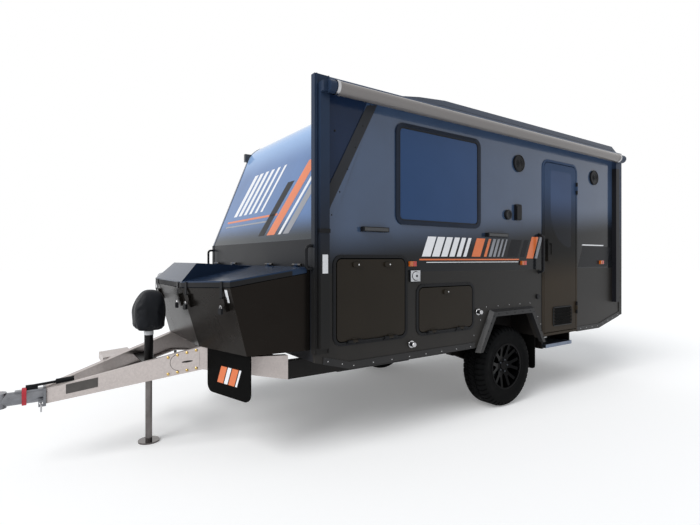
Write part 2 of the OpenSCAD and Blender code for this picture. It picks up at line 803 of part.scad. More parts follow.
// A bracket on the coupling, a lever that leans back and its grip
module handbrake() color("black") {
    bracket = [70, 12, 30];
    lever_l = 250;
    lever_r = 9;
    grip_l = 110;
    lean = -86;
    seat_back = 45;
    base_x = front_x + drawbar_l - coupling_l + seat_back;
    z = tip_z + coupling_r + seat_h;
    translate([base_x, -bracket[1] / 2, z]) cube(bracket);
    translate([base_x + bracket[0] / 2, 0, z + bracket[2] - lever_r]) rotate([0, lean, 0]) {
        cylinder(r = lever_r, h = lever_l);
        translate([0, 0, lever_l - grip_l]) cylinder(r = 2 * lever_r, h = grip_l);
    }
}

module jack_tube() color("black") {
    plate_drop = 150;
    plate_reach = 60;
    plate_t = 10;
    plate_z = toolbox_z - plate_drop;
    front_f = jack_f + plate_reach;
    back_f = jack_f - plate_reach;
    difference() {
        union() {
            translate([front_x + jack_f, 0, plate_z - plate_reach])
                cylinder(r = jack_r, h = cover_z - cover_clear - plate_z + plate_reach);
            translate([front_x, 0, plate_z]) linear_extrude(plate_t) polygon([
                [front_f, drawbar_y(front_f, drawbar_web)], [back_f, drawbar_y(back_f, drawbar_web)],
                [back_f, -drawbar_y(back_f, drawbar_web)], [front_f, -drawbar_y(front_f, drawbar_web)]]);
        }
        translate([front_x + jack_f, 0, plate_z - plate_reach - 1])
            cylinder(r = leg_r + stub_clear, h = cover_z - plate_z + plate_reach / 2);
    }
}

module jack_leg() color("silver") {
    translate([front_x + jack_f, 0, 0]) {
        cylinder(r = foot_r, h = 12);
        cylinder(r = leg_r, h = toolbox_z);
    }
}

// Upright outline of the cover, with a rounded top
module hood_outline() {
    translate([-cover_w / 2, 0]) square([cover_w, cover_h - cover_r]);
    translate([-cover_w / 2 + cover_r, 0]) square([cover_w - 2 * cover_r, cover_h]);
    for (s = [-1, 1]) translate([s * (cover_w / 2 - cover_r), cover_h - cover_r]) circle(cover_r);
}

// The cover's rounded outline from the front, kept inside its outline from the side and from above
module jack_cover() color("midnightblue") translate([front_x + jack_f, 0, cover_z]) intersection() {
    slab(-cover_w / 2, cover_w / 2) hood_outline();
    rotate([0, 0, 90]) slab(-cover_w / 2, cover_w / 2) hood_outline();
    linear_extrude(cover_h) round_rect(cover_w, cover_w, cover_r / 2);
}

// Corners of the toolbox's outline at a height above its floor, as a share of the way to the rim
function toolbox_ring(lift, inset, z) =
    let (front = lid_f - toolbox_lean * (1 - lift) - inset,
        corner = lid_corner_f - toolbox_lean * (1 - lift) - inset * 0.7,
        back = lid_back_f() + inset, y1 = lid_front_y + 25 * (1 - lift) - inset * 0.3,
        y2 = lid_side_y - 20 * (1 - lift) - inset, y3 = lid_back_y - inset)
    [for (p = [[back, -y3], [corner, -y2], [front, -y1], [front, y1], [corner, y2], [back, y3]])
        [front_x + p[0], p[1], z < 0 ? lid_z(p[0]) + z : z]];

// A solid between two rings of as many corners
module loft(lower, upper) {
    n = len(lower);
    polyhedron(points = concat(lower, upper), faces = concat(
        [[for (i = [0:n - 1]) i]], [[for (i = [n - 1:-1:0]) n + i]],
        [for (i = [0:n - 1]) [i, n + i, (i + 1) % n]],
        [for (i = [0:n - 1]) [(i + 1) % n, n + i, n + (i + 1) % n]]));
}

module toolbox() color("black") {
    rim = -lid_lip - seal_gap;
    difference() {
        loft(toolbox_ring(0, 0, toolbox_z), toolbox_ring(1, 0, rim));
        loft(toolbox_ring(0, toolbox_t, toolbox_z + toolbox_t), toolbox_ring(1, toolbox_t, rim + 1));
    }
    // Back sheet, with an upstand that carries the lid's hinges
    translate([front_x + toolbox_gap, -lid_back_y, toolbox_z])
        cube([strap_l + 2 + toolbox_t / 2, 2 * lid_back_y,
            lid_z(lid_back_f() + toolbox_t) + rim - toolbox_z]);
    translate([front_x + toolbox_gap, -lid_back_y, toolbox_z])
        cube([strap_l - 4, 2 * lid_back_y, lid_back_z - toolbox_z]);
    both_sides() for (share = [-0.14, 0.12, 0.85]) box_latch(share);
}

// A latch under the rim; its place is a share of the way from the front's corner to the side corner
module box_latch(share) {
    lift = 0.8;
    rim_z = lid_z(lid_f) - lid_lip - seal_gap;
    lean = atan2(toolbox_lean, rim_z - toolbox_z);
    turn = share > 0 ? atan2(lid_f - lid_corner_f, lid_side_y - lid_front_y) : 0;
    f = lid_f - max(share, 0) * (lid_f - lid_corner_f) - (1 - lift) * toolbox_lean;
    y = lid_front_y + share * (lid_side_y - lid_front_y);
    translate([front_x + f, y, toolbox_z + lift * (rim_z - toolbox_z)]) rotate([0, lean, turn])
        translate([-toolbox_t / 2, -box_latch_w / 2, -box_latch_h / 2])
            cube([toolbox_t / 2 + box_latch_d, box_latch_w, box_latch_h]);
}

module toolbox_lid() color("black") {
    top = -0.001;
    difference() {
        loft(toolbox_ring(1, 0, -lid_lip), toolbox_ring(1, 0, top));
        loft(toolbox_ring(1, toolbox_t, -lid_lip - 1), toolbox_ring(1, toolbox_t, -toolbox_t));
    }
    lid_hump();
    for (y = lid_hinge_ys) translate([lid_axis[0], y, lid_axis[1]]) rotate([90, 0, 0]) hinge_moving(10);
}

// The raised middle of the lid: a front facet, a narrowing top and two side facets
module lid_hump() {
    back = lid_back_f() + 20;
    hump_in = 80;
    rise_f = lid_f - hump_h;
    hump_z = lid_z(lid_f) + hump_h;
    points = [for (s = [-1, 1], p = [[lid_f, lid_front_y, lid_z(lid_f) - 2],
        [rise_f, lid_front_y - hump_in, hump_z], [back, lid_front_y * 0.32, lid_z(back) - 2]])
        [front_x + p[0], s * p[1], p[2]]];
    polyhedron(points, [[0, 4, 3], [0, 1, 4], [1, 5, 4], [1, 2, 5], [0, 2, 1], [3, 4, 5],
        [0, 5, 2], [0, 3, 5]]);
}

module lid_hinges() color("silver")
    for (y = lid_hinge_ys) translate([lid_axis[0], y, lid_axis[1]]) rotate([90, 0, 0]) hinge_fixed();

// A rubber flap that hangs from its upper edge, with rounded lower corners
module flap(w, h, r) translate([0, flap_t / 2, 0]) rotate([90, 0, 0]) linear_extrude(flap_t) {
    translate([-w / 2, -h / 2]) square([w, h / 2]);
    translate([0, -h / 2]) round_rect(w, h, r);
}

module front_flaps() color("black") both_sides() {
    back = 35;
    inner_f = lid_f - toolbox_lean - back - flap_clear;
    corner = [lid_corner_f - toolbox_lean - back, lid_side_y - 2 * flap_clear];
    inner = [inner_f, drawbar_y(inner_f) + flap_clear];
    across = corner - inner;
    translate([front_x + (corner[0] + inner[0]) / 2, (corner[1] + inner[1]) / 2, toolbox_z])
        rotate([0, 0, atan2(across[1], across[0])]) flap(norm(across) - flap_t, front_flap_h, 60);
}

module rear_flaps() color("black") both_sides()
    translate([wheel_x - arch_low_w / 2 - box_room + box_t / 2,
            inner_w - (tyre_w + box_side) / 2, floor_z])
        rotate([0, 0, 90]) flap(tyre_w + 0.6 * box_side, floor_z - rear_flap_z, 30);

// Trailing arms, each with a pad under its spring
module suspension_arms() color("black") both_sides() {
    pivot = [wheel_x + arm_l, rail_low_z + 40];
    pivot_r = 55;
    end_r = 60;
    difference() {
        slab(rail_out_y, rail_out_y + arm_t) {
            translate(pivot) circle(pivot_r);
            translate([wheel_x, tyre_r]) circle(end_r);
            polygon([pivot + [0, pivot_r - 10], [wheel_x, tyre_r + end_r - 10],
                [wheel_x, tyre_r - end_r + 10], pivot - [0, pivot_r - 10]]);
            translate([spring_x() - bellows_r, tyre_r]) square([2 * bellows_r, spring_z - tyre_r]);
        }
        slab(rail_out_y - 1, rail_out_y + arm_t + 1) translate([wheel_x, tyre_r])
            circle(stub_r + stub_clear);
    }
}

// Place of the springs along the arms
function spring_x() = wheel_x + 0.36 * arm_l;

// Air springs with two folds, between the arms and the floor
module spring_bellows() color("dimgray") both_sides() {
    h = floor_z - spring_z;
    fold_r = h / 4;
    translate([spring_x(), rail_out_y + bellows_r + 1, spring_z]) rotate_extrude() {
        square([bellows_r - fold_r, h]);
        intersection() {
            for (z = [fold_r, h - fold_r]) translate([bellows_r - fold_r, z]) circle(fold_r);
            square([bellows_r, h]);
        }
    }
}

module stub_axles() color("gray") both_sides() slab(rail_out_y, wheel_y + hub_r / 2)
    translate([wheel_x, tyre_r]) circle(stub_r);

// A wheel is drawn with its axle along Z and its outer face up
module on_axle() translate([wheel_x, wheel_y, tyre_r]) rotate([-90, 0, 0]) children();

// A hollow casing, open to the rim between its two beads
module tyre() color("black") on_axle() rotate_extrude() difference() {
    deep = tyre_r - rim_r + shoulder_r;
    hollow = deep - tread_t + shoulder_r;
    translate([tyre_r - deep / 2, 0]) round_rect(deep, tyre_w, shoulder_r);
    translate([tyre_r - tread_t - hollow / 2, 0])
        round_rect(hollow, tyre_w - 2 * tyre_side_t, shoulder_r - tyre_side_t);
    translate([0, -tyre_w]) square([rim_r, 2 * tyre_w]);
}

// The dished face of a rim: its forked spokes are prisms along the axle, cut by a revolved dish
module rim() color("black") on_axle() {
    seat_r = rim_r - bead_clear;
    edge_z = tyre_w / 2 - tyre_side_t / 2;
    face_z = tyre_w / 2 - dish_depth;
    hub_back = hub_r / 2;
    nut_ring_r = 0.76 * hub_r;
    nut_room = 12;
    difference() {
        union() {
            rotate_extrude() polygon([[seat_r, -edge_z], [seat_r, edge_z], [seat_r - 2 * barrel_t, edge_z],
                [seat_r - barrel_t, edge_z - 2 * barrel_t], [seat_r - barrel_t, -edge_z]]);
            intersection() {
                rotate_extrude() polygon([[0, face_z - spoke_t], [0, face_z], [hub_r, face_z],
                    [seat_r - 1, edge_z - barrel_t], [seat_r - 1, edge_z - barrel_t - spoke_t],
                    [hub_r, face_z - spoke_t]]);
                translate([0, 0, -tyre_w]) linear_extrude(2 * tyre_w) {
                    circle(hub_r);
                    for (i = [0:spokes - 1]) rotate(i * 360 / spokes) fork_outline(rim_r);
                }
            }
            translate([0, 0, -hub_back]) cylinder(r = hub_r, h = face_z + hub_back - 1);
        }
        translate([0, 0, -tyre_w]) cylinder(r = stub_r + stub_clear, h = tyre_w + hub_back + 1);
        for (i = [0:nuts - 1]) rotate([0, 0, (i + 0.5) * 360 / nuts])
            translate([nut_ring_r, 0, face_z - spoke_t / 2]) cylinder(r = nut_room, h = spoke_t);
    }
    for (i = [0:nuts - 1]) rotate([0, 0, (i + 0.5) * 360 / nuts])
        translate([nut_ring_r, 0, face_z - spoke_t / 2])
            cylinder(r = nut_room - 2, h = spoke_t / 2, $fn = 6);
    translate([0, 0, face_z])
        cylinder(r1 = nut_ring_r - nut_room - 3, r2 = nut_ring_r - nut_room - 8, h = 8);
}

// A stem that forks into two prongs towards the rim
module fork_outline(reach) {
    prong_w = 0.42 * fork_w;
    polygon([[hub_r / 2, -spoke_w], [hub_r / 2, spoke_w], [fork_r, spoke_w], [fork_r, -spoke_w]]);
    for (s = [-1, 1]) polygon([[fork_r - spoke_w / 2, s], [fork_r - spoke_w / 2, s * spoke_w],
        [reach, s * fork_w], [reach, s * (fork_w - prong_w)]]);
}

// A drum behind the hub
module brake_drum() color("dimgray") on_axle() difference() {
    back_z = -tyre_w / 2 + tyre_side_t;
    translate([0, 0, back_z]) cylinder(r = drum_r, h = -hub_r / 2 - back_z);
    translate([0, 0, back_z - 1]) cylinder(r = stub_r + stub_clear, h = tyre_w);
}

module brake_drum_left() brake_drum();

module brake_drum_right() mirror([0, 1, 0]) brake_drum();

module tyre_left() tyre();

module rim_left() rim();

module tyre_right() mirror([0, 1, 0]) tyre();

module rim_right() mirror([0, 1, 0]) rim();

// A frame with three grooves along its top bar
module window_frames() color("black") both_sides() difference() {
    panel_frame(window, window_r, window_band, inner_w, face_y + trim_proud);
    for (i = [1:3]) slab(face_y + trim_proud - groove_d, face_y + 2 * trim_proud)
        translate([at(window_b + window_w - window_r), window_z + window_h - i * window_band / 4])
            square([window_w - 2 * window_r, window_band / 9]);
}

module window_panes() color("steelblue") both_sides()
    slab(half_w - pane_t + trim_proud, face_y) panel(window, window_r, window_band + pane_clear);

module door_frame() color("black") difference() {
    slab(inner_w, face_y) door_outline();
    slab(inner_w - 1, face_y + 1) door_outline(frame_band);
}

module door_hinges() color("silver")
    for (z = door_hinge_zs) translate([door_axis[0], door_axis[1], z]) hinge_fixed();

module entry_door() color("slategray") {
    inset = frame_band + leaf_gap;
    vent = [door_b + (door_w - vent_w) / 2 + leaf_gap * 4, door_z + vent_lift, vent_w, vent_h];
    lock = [door_b + inset + lock_w / 3, door_z + lock_lift - lock_h / 2, lock_w, lock_h];
    slot_h = vent_h / (2 * vent_slots + 1);
    difference() {
        slab(inner_w, face_y) door_outline(inset);
        slab(inner_w - 1, face_y + 1) light_outline();
    }
    difference() {
        slab(face_y - 1, face_y + trim_proud) panel(vent, slot_h);
        for (i = [0:vent_slots - 1]) translate([0, 0, vent[1] + (2 * i + 1) * slot_h])
            slab(face_y + 2, face_y + lock_proud)
                translate([at(vent[0] + vent_w - slot_h), 0]) square([vent_w - 2 * slot_h, slot_h]);
    }
    difference() {
        slab(face_y - 1, face_y + lock_proud) panel(lock, lock_w / 4);
        // Hollow behind the lever
        translate([at(lock[0] + 0.8 * lock_w), face_y + lock_proud / 3, lock[1] + lock_h * 0.3])
            cube([0.6 * lock_w, lock_proud, lock_h * 0.5]);
    }
    translate([at(lock[0] + 0.68 * lock_w), face_y + lock_proud / 3, lock[1] + lock_h * 0.2])
        cube([0.36 * lock_w, lock_proud / 2, lock_h * 0.55]);
    for (z = door_hinge_zs) translate([door_axis[0], door_axis[1], z]) hinge_moving();
}

// The door's window, set in from the leaf's edges
function door_light() = [door_b + light_front, door_top_z - light_drop - light_h,
    door_w - light_front - light_back, light_h];

// Outline of the door's window: its lower front corner is swept off by an arc as wide as the window
module light_outline(inset = 0) intersection() {
    light = door_light();
    panel(light, light_r, inset);
    translate([at(light[0] + light[2]), light[1] + light[2]]) {
        square([light[2], light[3] - light[2]]);
        circle(light[2] - inset);
    }
}

module door_pane() color("steelblue") slab(face_y - pane_t, face_y) light_outline(pane_clear);

module hatch_frames() color("black") {
    for (place = [tall_hatch, low_hatch]) panel_frame(place, hatch_r, frame_band, inner_w, face_y);
    mirror([0, 1, 0]) panel_frame(tall_hatch, hatch_r, frame_band, inner_w, face_y);
}

// Puts a hinge on each of the two places along a hatch's lower edge
module on_hatch_axis(place) for (share = [0.26, 0.74])
    translate([at(place[0] + place[2] * share), face_y + hinge_out,
        place[1] + frame_band + leaf_gap / 2]) rotate([0, -90, 0]) children();

module hatch_hinges() color("silver") {
    for (place = [tall_hatch, low_hatch]) on_hatch_axis(place) hinge_fixed();
    mirror([0, 1, 0]) on_hatch_axis(tall_hatch) hinge_fixed();
}

// A leaf with its latches at shares of its width
module hatch_leaf(place, latches) color("dimgray") {
    slab(inner_w, face_y) panel(place, hatch_r, frame_band + leaf_gap);
    for (share = latches) slab(face_y - 1, face_y + latch_proud)
        translate([at(place[0] + place[2] * share), place[1] + place[3] - latch_drop])
            round_rect(latch_w, latch_h, latch_h * 0.45);
    on_hatch_axis(place) hinge_moving();
}

module tall_hatch_left() hatch_leaf(tall_hatch, [0.29, 0.71]);

module low_hatch_left() hatch_leaf(low_hatch, [0.49]);

module tall_hatch_right() mirror([0, 1, 0]) hatch_leaf(tall_hatch, [0.29, 0.71]);

// The rolled cloth, with a cap on each end
module awning_roll() color("gainsboro") {
    cap_l = 48;
    l = rear_arm_b - arm_w - awning_start;
    translate([at(rear_arm_b - arm_w), half_w + awning_out, side_top_z - awning_drop]) rotate([0, 90, 0]) {
        cylinder(d = 0.96 * awning_d, h = l);
        for (z = [0, l - cap_l]) translate([0, 0, z]) cylinder(d = awning_d, h = cap_l);
    }
}

// Two arms that stand on the front post and on the wall, each with a head that holds the roll's end
module awning_arms() color("black") {
    axis_z = side_top_z - awning_drop;
    axis_y = half_w + awning_out;
    foot = 40;
    // Middle of the arm behind the nose, its lower end, the face it stands on, both ends of its head
    for (arm = [[post_w / 2, nose_z + post_lift + foot, half_w + post_proud, post_w / 2, awning_start],
            [rear_arm_b, rear_arm_z, half_w, rear_arm_b - arm_w, rear_arm_b + arm_w / 2]]) {
        translate([at(arm[0] + arm_w / 2), arm[2], arm[1]])
            cube([arm_w, half_w + arm_proud * 0.8 - arm[2], axis_z + arm_w / 2 - arm[1]]);
        translate([at(arm[0] + arm_w / 2), arm[2], axis_z - arm_w / 2])
            cube([arm_w, axis_y - arm[2], arm_w]);
        translate([at(arm[4]), axis_y, axis_z]) rotate([0, 90, 0])
            cylinder(d = 0.9 * awning_d, h = arm[4] - arm[3]);
    }
}

// Two hangers under the floor, each with a ledge that the tray slides on
module step_runners() color("black") {
    web_t = 15;
    ledge = 20;
    y0 = inner_w - step_d - 10;
    for (s = [-1, 1]) translate([at(step_b), y0, 0]) mirror([s > 0 ? 1 : 0, 0, 0])
        translate([step_w / 2 + step_gap, 0, step_z - 10]) {
            cube([web_t, step_d, floor_z - step_z + 10]);
            translate([-ledge, 0, 0]) cube([ledge, step_d, 10 - slide_clear]);
        }
}

module step_tray() color("silver") translate([at(step_b) - step_w / 2, half_w - 10 - step_d, step_z])
    cube([step_w, step_d, step_h]);

// Half the width of the water tank, clear of the chassis rails
function tank_side() = rail_y - rail_w / 2 - 20;

module water_tank() color("black") translate([at(tank_b + tank_l), -tank_side(), floor_z - tank_h])
    cube([tank_l, 2 * tank_side(), tank_h]);

// A bent bar: two legs that reach out along X and a grip along Z, joined by round bends
module bent_grip(l, reach, r) {
    bend = 2.5 * r;
    for (s = [0, 1]) translate([0, 0, s * l]) mirror([0, 0, s]) {
        rotate([0, 90, 0]) cylinder(r = r, h = reach - bend);
        translate([reach - bend, 0, bend]) rotate([90, 90, 0]) rotate_extrude(angle = 90)
            translate([bend, 0]) circle(r);
    }
    translate([reach, 0, bend]) cylinder(r = r, h = l - 2 * bend);
}

module grab_handles() color("black") {
    grip_reach = 50;
    foot_t = 6;
    // The front grips stand on the corner trims: side, and how far its trim stands out
    for (trim = [[0, post_proud], [1, trim_proud]]) mirror([0, trim[0], 0])
        translate([at(-trim[1]), half_w - wall_t / 2, front_grip_z])
            bent_grip(front_grip_l, grip_reach, grip_r);
    translate([at(door_b - grip_reach), half_w, door_grip_z]) rotate([0, 0, 90]) {
        bent_grip(door_grip_l, grip_reach, 1.2 * grip_r);
        for (z = [0, door_grip_l]) translate([0, 0, z]) rotate([0, 90, 0])
            cylinder(r = 2 * grip_r, h = foot_t);
    }
}

module lamps() color("orange") {
    marker_behind = 180;
    marker_ahead = 300;
    // Distances of the side markers' middles behind the nose
    marker_bs = [tall_hatch_b + tall_hatch_w + hatch_gap / 2, wheel_b + marker_behind,
        rear_arm_b - marker_ahead];
    lamp_z = 950;
    clear_l = 75;
    clear_h = 86;
    both_sides() for (b = marker_bs) translate([at(b + marker_l / 2), half_w, marker_z])
        cube([marker_l, lamp_proud, marker_h]);
    both_sides() translate([rear_x - lamp_proud, half_w - 2 * tail_lamp_w - lamp_proud, lamp_z])
        cube([lamp_proud, tail_lamp_w, tail_lamp_h]);
    // Clearance lamp where the slope's right edge starts to bend
    mirror([0, 1, 0]) slab(inner_w, half_w) difference() {
        translate(bend_start - [clear_l / 2, clear_h / 5]) square([clear_l, clear_h]);
        right_outline();
    }
}

// A fitting that stands out from the left wall, its middle given behind the nose and by its height
module fitting(b, z, proud) slab(half_w, half_w + proud) translate([at(b), z]) children();

module wall_fittings() color("black") {
    hatch_end = tall_hatch_b + tall_hatch_w;
    speaker_t = 14;
    bar_d = 40;
    // Lamp bars: front end behind the nose, length
    bars = [[385, 242], [wall_b(0.076), 287]];
    socket_d = 26;
    outlet_d = 18;
    outlet_drop = 30;
    filler_d = 16;
    lock_in = 77;
    lock_drop = 320;
    lock_r = 24;
    tap_lift = 115;
    tap_gap = 10;
    tap_d = 30;
    // Distances of the speakers behind the nose
    for (b = [wall_b(0.59), 0.57 * (door_b + door_w) + 0.43 * rear_arm_b]) difference() {
        fitting(b, side_top_z - speaker_drop, speaker_t) circle(speaker_r);
        slab(half_w + speaker_t / 2, half_w + 2 * speaker_t)
            translate([at(b), side_top_z - speaker_drop]) difference() {
                circle(0.86 * speaker_r);
                circle(0.3 * speaker_r);
            }
    }
    for (bar = bars)
        translate([at(bar[0] + bar[1]), half_w, window_z - bar_gap - bar_h]) cube([bar[1], bar_d, bar_h]);
    fitting(wall_b(0.566), side_top_z - socket_drop, socket_d)
        round_rect(socket_w, socket_h, socket_w / 6);
    fitting(wall_b(0.41), side_top_z - socket_drop - outlet_drop, outlet_d) circle(outlet_r);
    fitting(hatch_end + filler_w * 0.68, hatch_z + low_hatch_h + filler_h * 0.72, filler_d)
        round_rect(filler_w, filler_h, filler_h / 8);
    fitting(door_b - lock_in, marker_z - lock_drop, speaker_t) circle(lock_r);
    // Taps: distance behind the nose and height
    for (tap = [[hatch_end + tap_r + tap_gap, skirt_z + tap_lift],
            [wheel_b - arch_half + tap_r / 2, arch_z + 1.75 * tap_r]]) {
        fitting(tap[0], tap[1], trim_proud) circle(tap_r);
        fitting(tap[0], tap[1], tap_d) circle(0.6 * tap_r);
    }
}

module rear_bumper() color("silver")
    translate([rear_x - bumper_reach, -half_w + bumper_in, tail_z - 10 - bumper_h])
        cube([bumper_reach, body_w - 2 * bumper_in, bumper_h]);

placed() floor_panel();
placed() side_wall_left();
placed() side_wall_right();
placed() front_wall();
placed() slope_wall();
placed() roof_panel();
placed() rear_wall();
placed() wing_panel();
placed() corner_posts();
placed() trim_strips();
placed() skirt_bands();
placed() wheel_boxes();
placed() arch_flares();
placed() chassis_rail_left();
placed() chassis_rail_right();
placed() cross_members();
placed() drawbar_left();
placed() drawbar_right();
placed() coupling();
placed() handbrake();
placed() jack_tube();
placed() jack_leg();
placed() jack_cover();
placed() toolbox();
placed() toolbox_lid();
placed() lid_hinges();
placed() front_flaps();
placed() rear_flaps();
placed() suspension_arms();
placed() spring_bellows();
placed() stub_axles();
placed() tyre_left();
placed() rim_left();
placed() brake_drum_left();
placed() tyre_right();
placed() rim_right();
placed() brake_drum_right();
placed() drawbar_tray();
placed() window_frames();
placed() window_panes();
placed() door_frame();
placed() door_hinges();
placed() entry_door();
placed() door_pane();
placed() hatch_frames();
placed() hatch_hinges();
placed() tall_hatch_left();
placed() low_hatch_left();
placed() tall_hatch_right();
placed() awning_roll();
placed() awning_arms();
placed() step_runners();
placed() step_tray();
placed() water_tank();
placed() grab_handles();
placed() lamps();
placed() wall_fittings();
placed() rear_bumper();
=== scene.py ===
# %% [markdown]
# An off-road camper trailer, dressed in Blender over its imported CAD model.
# The CAD nodes give every hard form; this lesson adds the finishes, the tread, the soft jack cover,
# the vinyl bars and the small hardware. All sizes are metres, X runs forward to the coupling,
# Y to the door's side and Z up, as in the CAD model.

# %% Load the frame
import json
import bpy
import numpy as np
from mathutils import Matrix, Vector


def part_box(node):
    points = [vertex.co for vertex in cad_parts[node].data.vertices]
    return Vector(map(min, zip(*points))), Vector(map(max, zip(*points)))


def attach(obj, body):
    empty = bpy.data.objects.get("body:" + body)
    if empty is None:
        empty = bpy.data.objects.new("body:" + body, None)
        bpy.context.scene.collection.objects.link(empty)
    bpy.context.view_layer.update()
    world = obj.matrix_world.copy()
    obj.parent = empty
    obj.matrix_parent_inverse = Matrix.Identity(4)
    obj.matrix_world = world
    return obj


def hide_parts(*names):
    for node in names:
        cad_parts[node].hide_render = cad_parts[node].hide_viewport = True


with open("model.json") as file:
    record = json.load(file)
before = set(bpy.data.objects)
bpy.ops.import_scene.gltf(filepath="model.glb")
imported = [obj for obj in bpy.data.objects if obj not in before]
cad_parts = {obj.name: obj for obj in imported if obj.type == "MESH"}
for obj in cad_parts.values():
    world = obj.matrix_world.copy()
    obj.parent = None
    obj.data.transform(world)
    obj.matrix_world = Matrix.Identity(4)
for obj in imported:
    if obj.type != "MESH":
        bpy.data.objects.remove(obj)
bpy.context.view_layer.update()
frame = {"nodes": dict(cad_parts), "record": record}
nodes = frame["nodes"]
TRAILER = "trailer"
X, Y, Z = np.eye(3)


def low(node):
    """Lowest corner of a CAD node at rest, as an array."""
    return np.array(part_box(node)[0])


def high(node):
    """Highest corner of a CAD node at rest, as an array."""
    return np.array(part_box(node)[1])


def middle(node):
    """Middle of a CAD node's box at rest."""
    return (low(node) + high(node)) / 2


def points_of(mesh):
    """All points of a mesh, as an array."""
    flat = np.empty(len(mesh.vertices) * 3)
    mesh.vertices.foreach_get("co", flat)
    return flat.reshape(-1, 3)


NOSE_X = high("side_wall_left")[0]
TAIL_X = low("side_wall_left")[0]
LEFT_Y = high("side_wall_left")[1]
RIGHT_Y = low("side_wall_right")[1]
MID_Y = (LEFT_Y + RIGHT_Y) / 2
SIDES = (("left", 1), ("right", -1))

# %% [markdown]
# The camera stands at the door's side ahead of the nose, level with a person's eyes. Its place and
# lens were solved from the straight edges of the body, so the render lines up with the photograph.

# %% Camera
CAMERA_AT = Vector((2.851, 3.800, 1.42))
LOOK = Vector((-0.5669, -0.8238, 0.0)).normalized()
lens_data = bpy.data.cameras.new("photo_camera")
lens_data.lens = 23.66
lens_data.sensor_width = 36.0
lens_data.sensor_fit = "HORIZONTAL"
lens_data.shift_y = -0.0051
camera = bpy.data.objects.new("photo_camera", lens_data)
right = LOOK.cross(Vector((0, 0, 1))).normalized()
axes = Matrix((right, right.cross(LOOK), -LOOK)).transposed()
camera.matrix_world = Matrix.Translation(CAMERA_AT) @ axes.to_4x4()
bpy.context.collection.objects.link(camera)
bpy.context.scene.camera = camera
bpy.context.scene.view_settings.view_transform = "Standard"
print("camera", tuple(round(v, 3) for v in camera.location), "lens", lens_data.lens)

# %% [markdown]
# Each new piece is a surface worked out on a grid. These helpers join a grid's points into quads,
# put the arrays into a mesh and tie the piece to the body that carries it.

# %% Mesh helpers
def quads(rows, columns, wrap_rows=False, wrap_columns=False):
    """Faces of a grid of points: each joins a point to its neighbours in the next row and column."""
    i = np.arange(rows if wrap_rows else rows - 1)
    j = np.arange(columns if wrap_columns else columns - 1)
    i, j = (a.ravel() for a in np.meshgrid(i, j, indexing="ij"))
    i2, j2 = (i + 1) % rows, (j + 1) % columns
    return np.stack([i * columns + j, i2 * columns + j, i2 * columns + j2, i * columns + j2], axis=1)


def enclosed(points, faces):
    """Volume inside the faces: each is cut into triangles from its first corner, and each triangle adds
    a sixth of the product of its corners. It is negative where the faces point inwards."""
    total = 0.0
    for f in faces:
        for k in range(1, f.shape[1] - 1):
            a, b, c = points[f[:, 0]], points[f[:, k]], points[f[:, k + 1]]
            total += np.einsum("ij,ij->", a, np.cross(b, c)) / 6
    return total


def put(name, points, faces, look, body=TRAILER, slot=None, crease=35.0):
    """Makes a mesh object of points and faces, shaded smooth below the crease angle, riding on body."""
    mesh = bpy.data.meshes.new(name)
    points = points.reshape(-1, 3)
    faces = [faces] if isinstance(faces, np.ndarray) else faces
    if enclosed(points - points.mean(axis=0), faces) < 0:
        faces = [f[:, ::-1] for f in faces]
    mesh.from_pydata(points.tolist(), [], sum((f.tolist() for f in faces), []))
    mesh.polygons.foreach_set("use_smooth", np.ones(len(mesh.polygons), dtype=bool))
    mesh.set_sharp_from_angle(angle=np.radians(crease))
    mesh.materials.append(looks[look])
    mesh.update()
    piece = bpy.data.objects.new(name, mesh)
    bpy.context.collection.objects.link(piece)
    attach(piece, body)
    return piece


def circle(count):
    """Angles evenly spaced round a full turn."""
    return np.linspace(0, 2 * np.pi, count, endpoint=False)


def line(start, stop, count):
    """Evenly spaced places on a straight line."""
    return np.linspace(np.asarray(start, float), np.asarray(stop, float), count)


def copies(template, template_faces, places, across, along, out):
    """The template's points at each place, its own X, Y, Z carried on the unit vectors given."""
    basis = np.stack([across, along, out])
    points = places[:, None, :] + (template @ basis)[None, :, :]
    step = len(template) * np.arange(len(places))[:, None, None]
    faces = [(f[None] + step).reshape(-1, f.shape[1]) for f in template_faces]
    return points.reshape(-1, 3), faces


def turned(profile, segments):
    """A profile of (radius, height) pairs turned about Z: each pair goes round a circle; both ends
    are closed by a fan to a point on the axis."""
    profile = np.asarray(profile, float)
    angle = circle(segments)
    ring = np.stack([np.outer(profile[:, 0], np.cos(angle)), np.outer(profile[:, 0], np.sin(angle)),
                     np.repeat(profile[:, 1:], segments, axis=1)], axis=-1)
    n = len(profile)
    points = np.vstack([ring.reshape(-1, 3), [[0, 0, profile[0, 1]], [0, 0, profile[-1, 1]]]])
    k = np.arange(segments)
    k2 = (k + 1) % segments
    side = quads(n, segments, wrap_columns=True)[:, ::-1]
    foot = np.stack([k2, k, np.full(segments, n * segments)], axis=1)
    cap = np.stack([k + (n - 1) * segments, k2 + (n - 1) * segments,
                    np.full(segments, n * segments + 1)], axis=1)
    return points, [side, foot, cap]


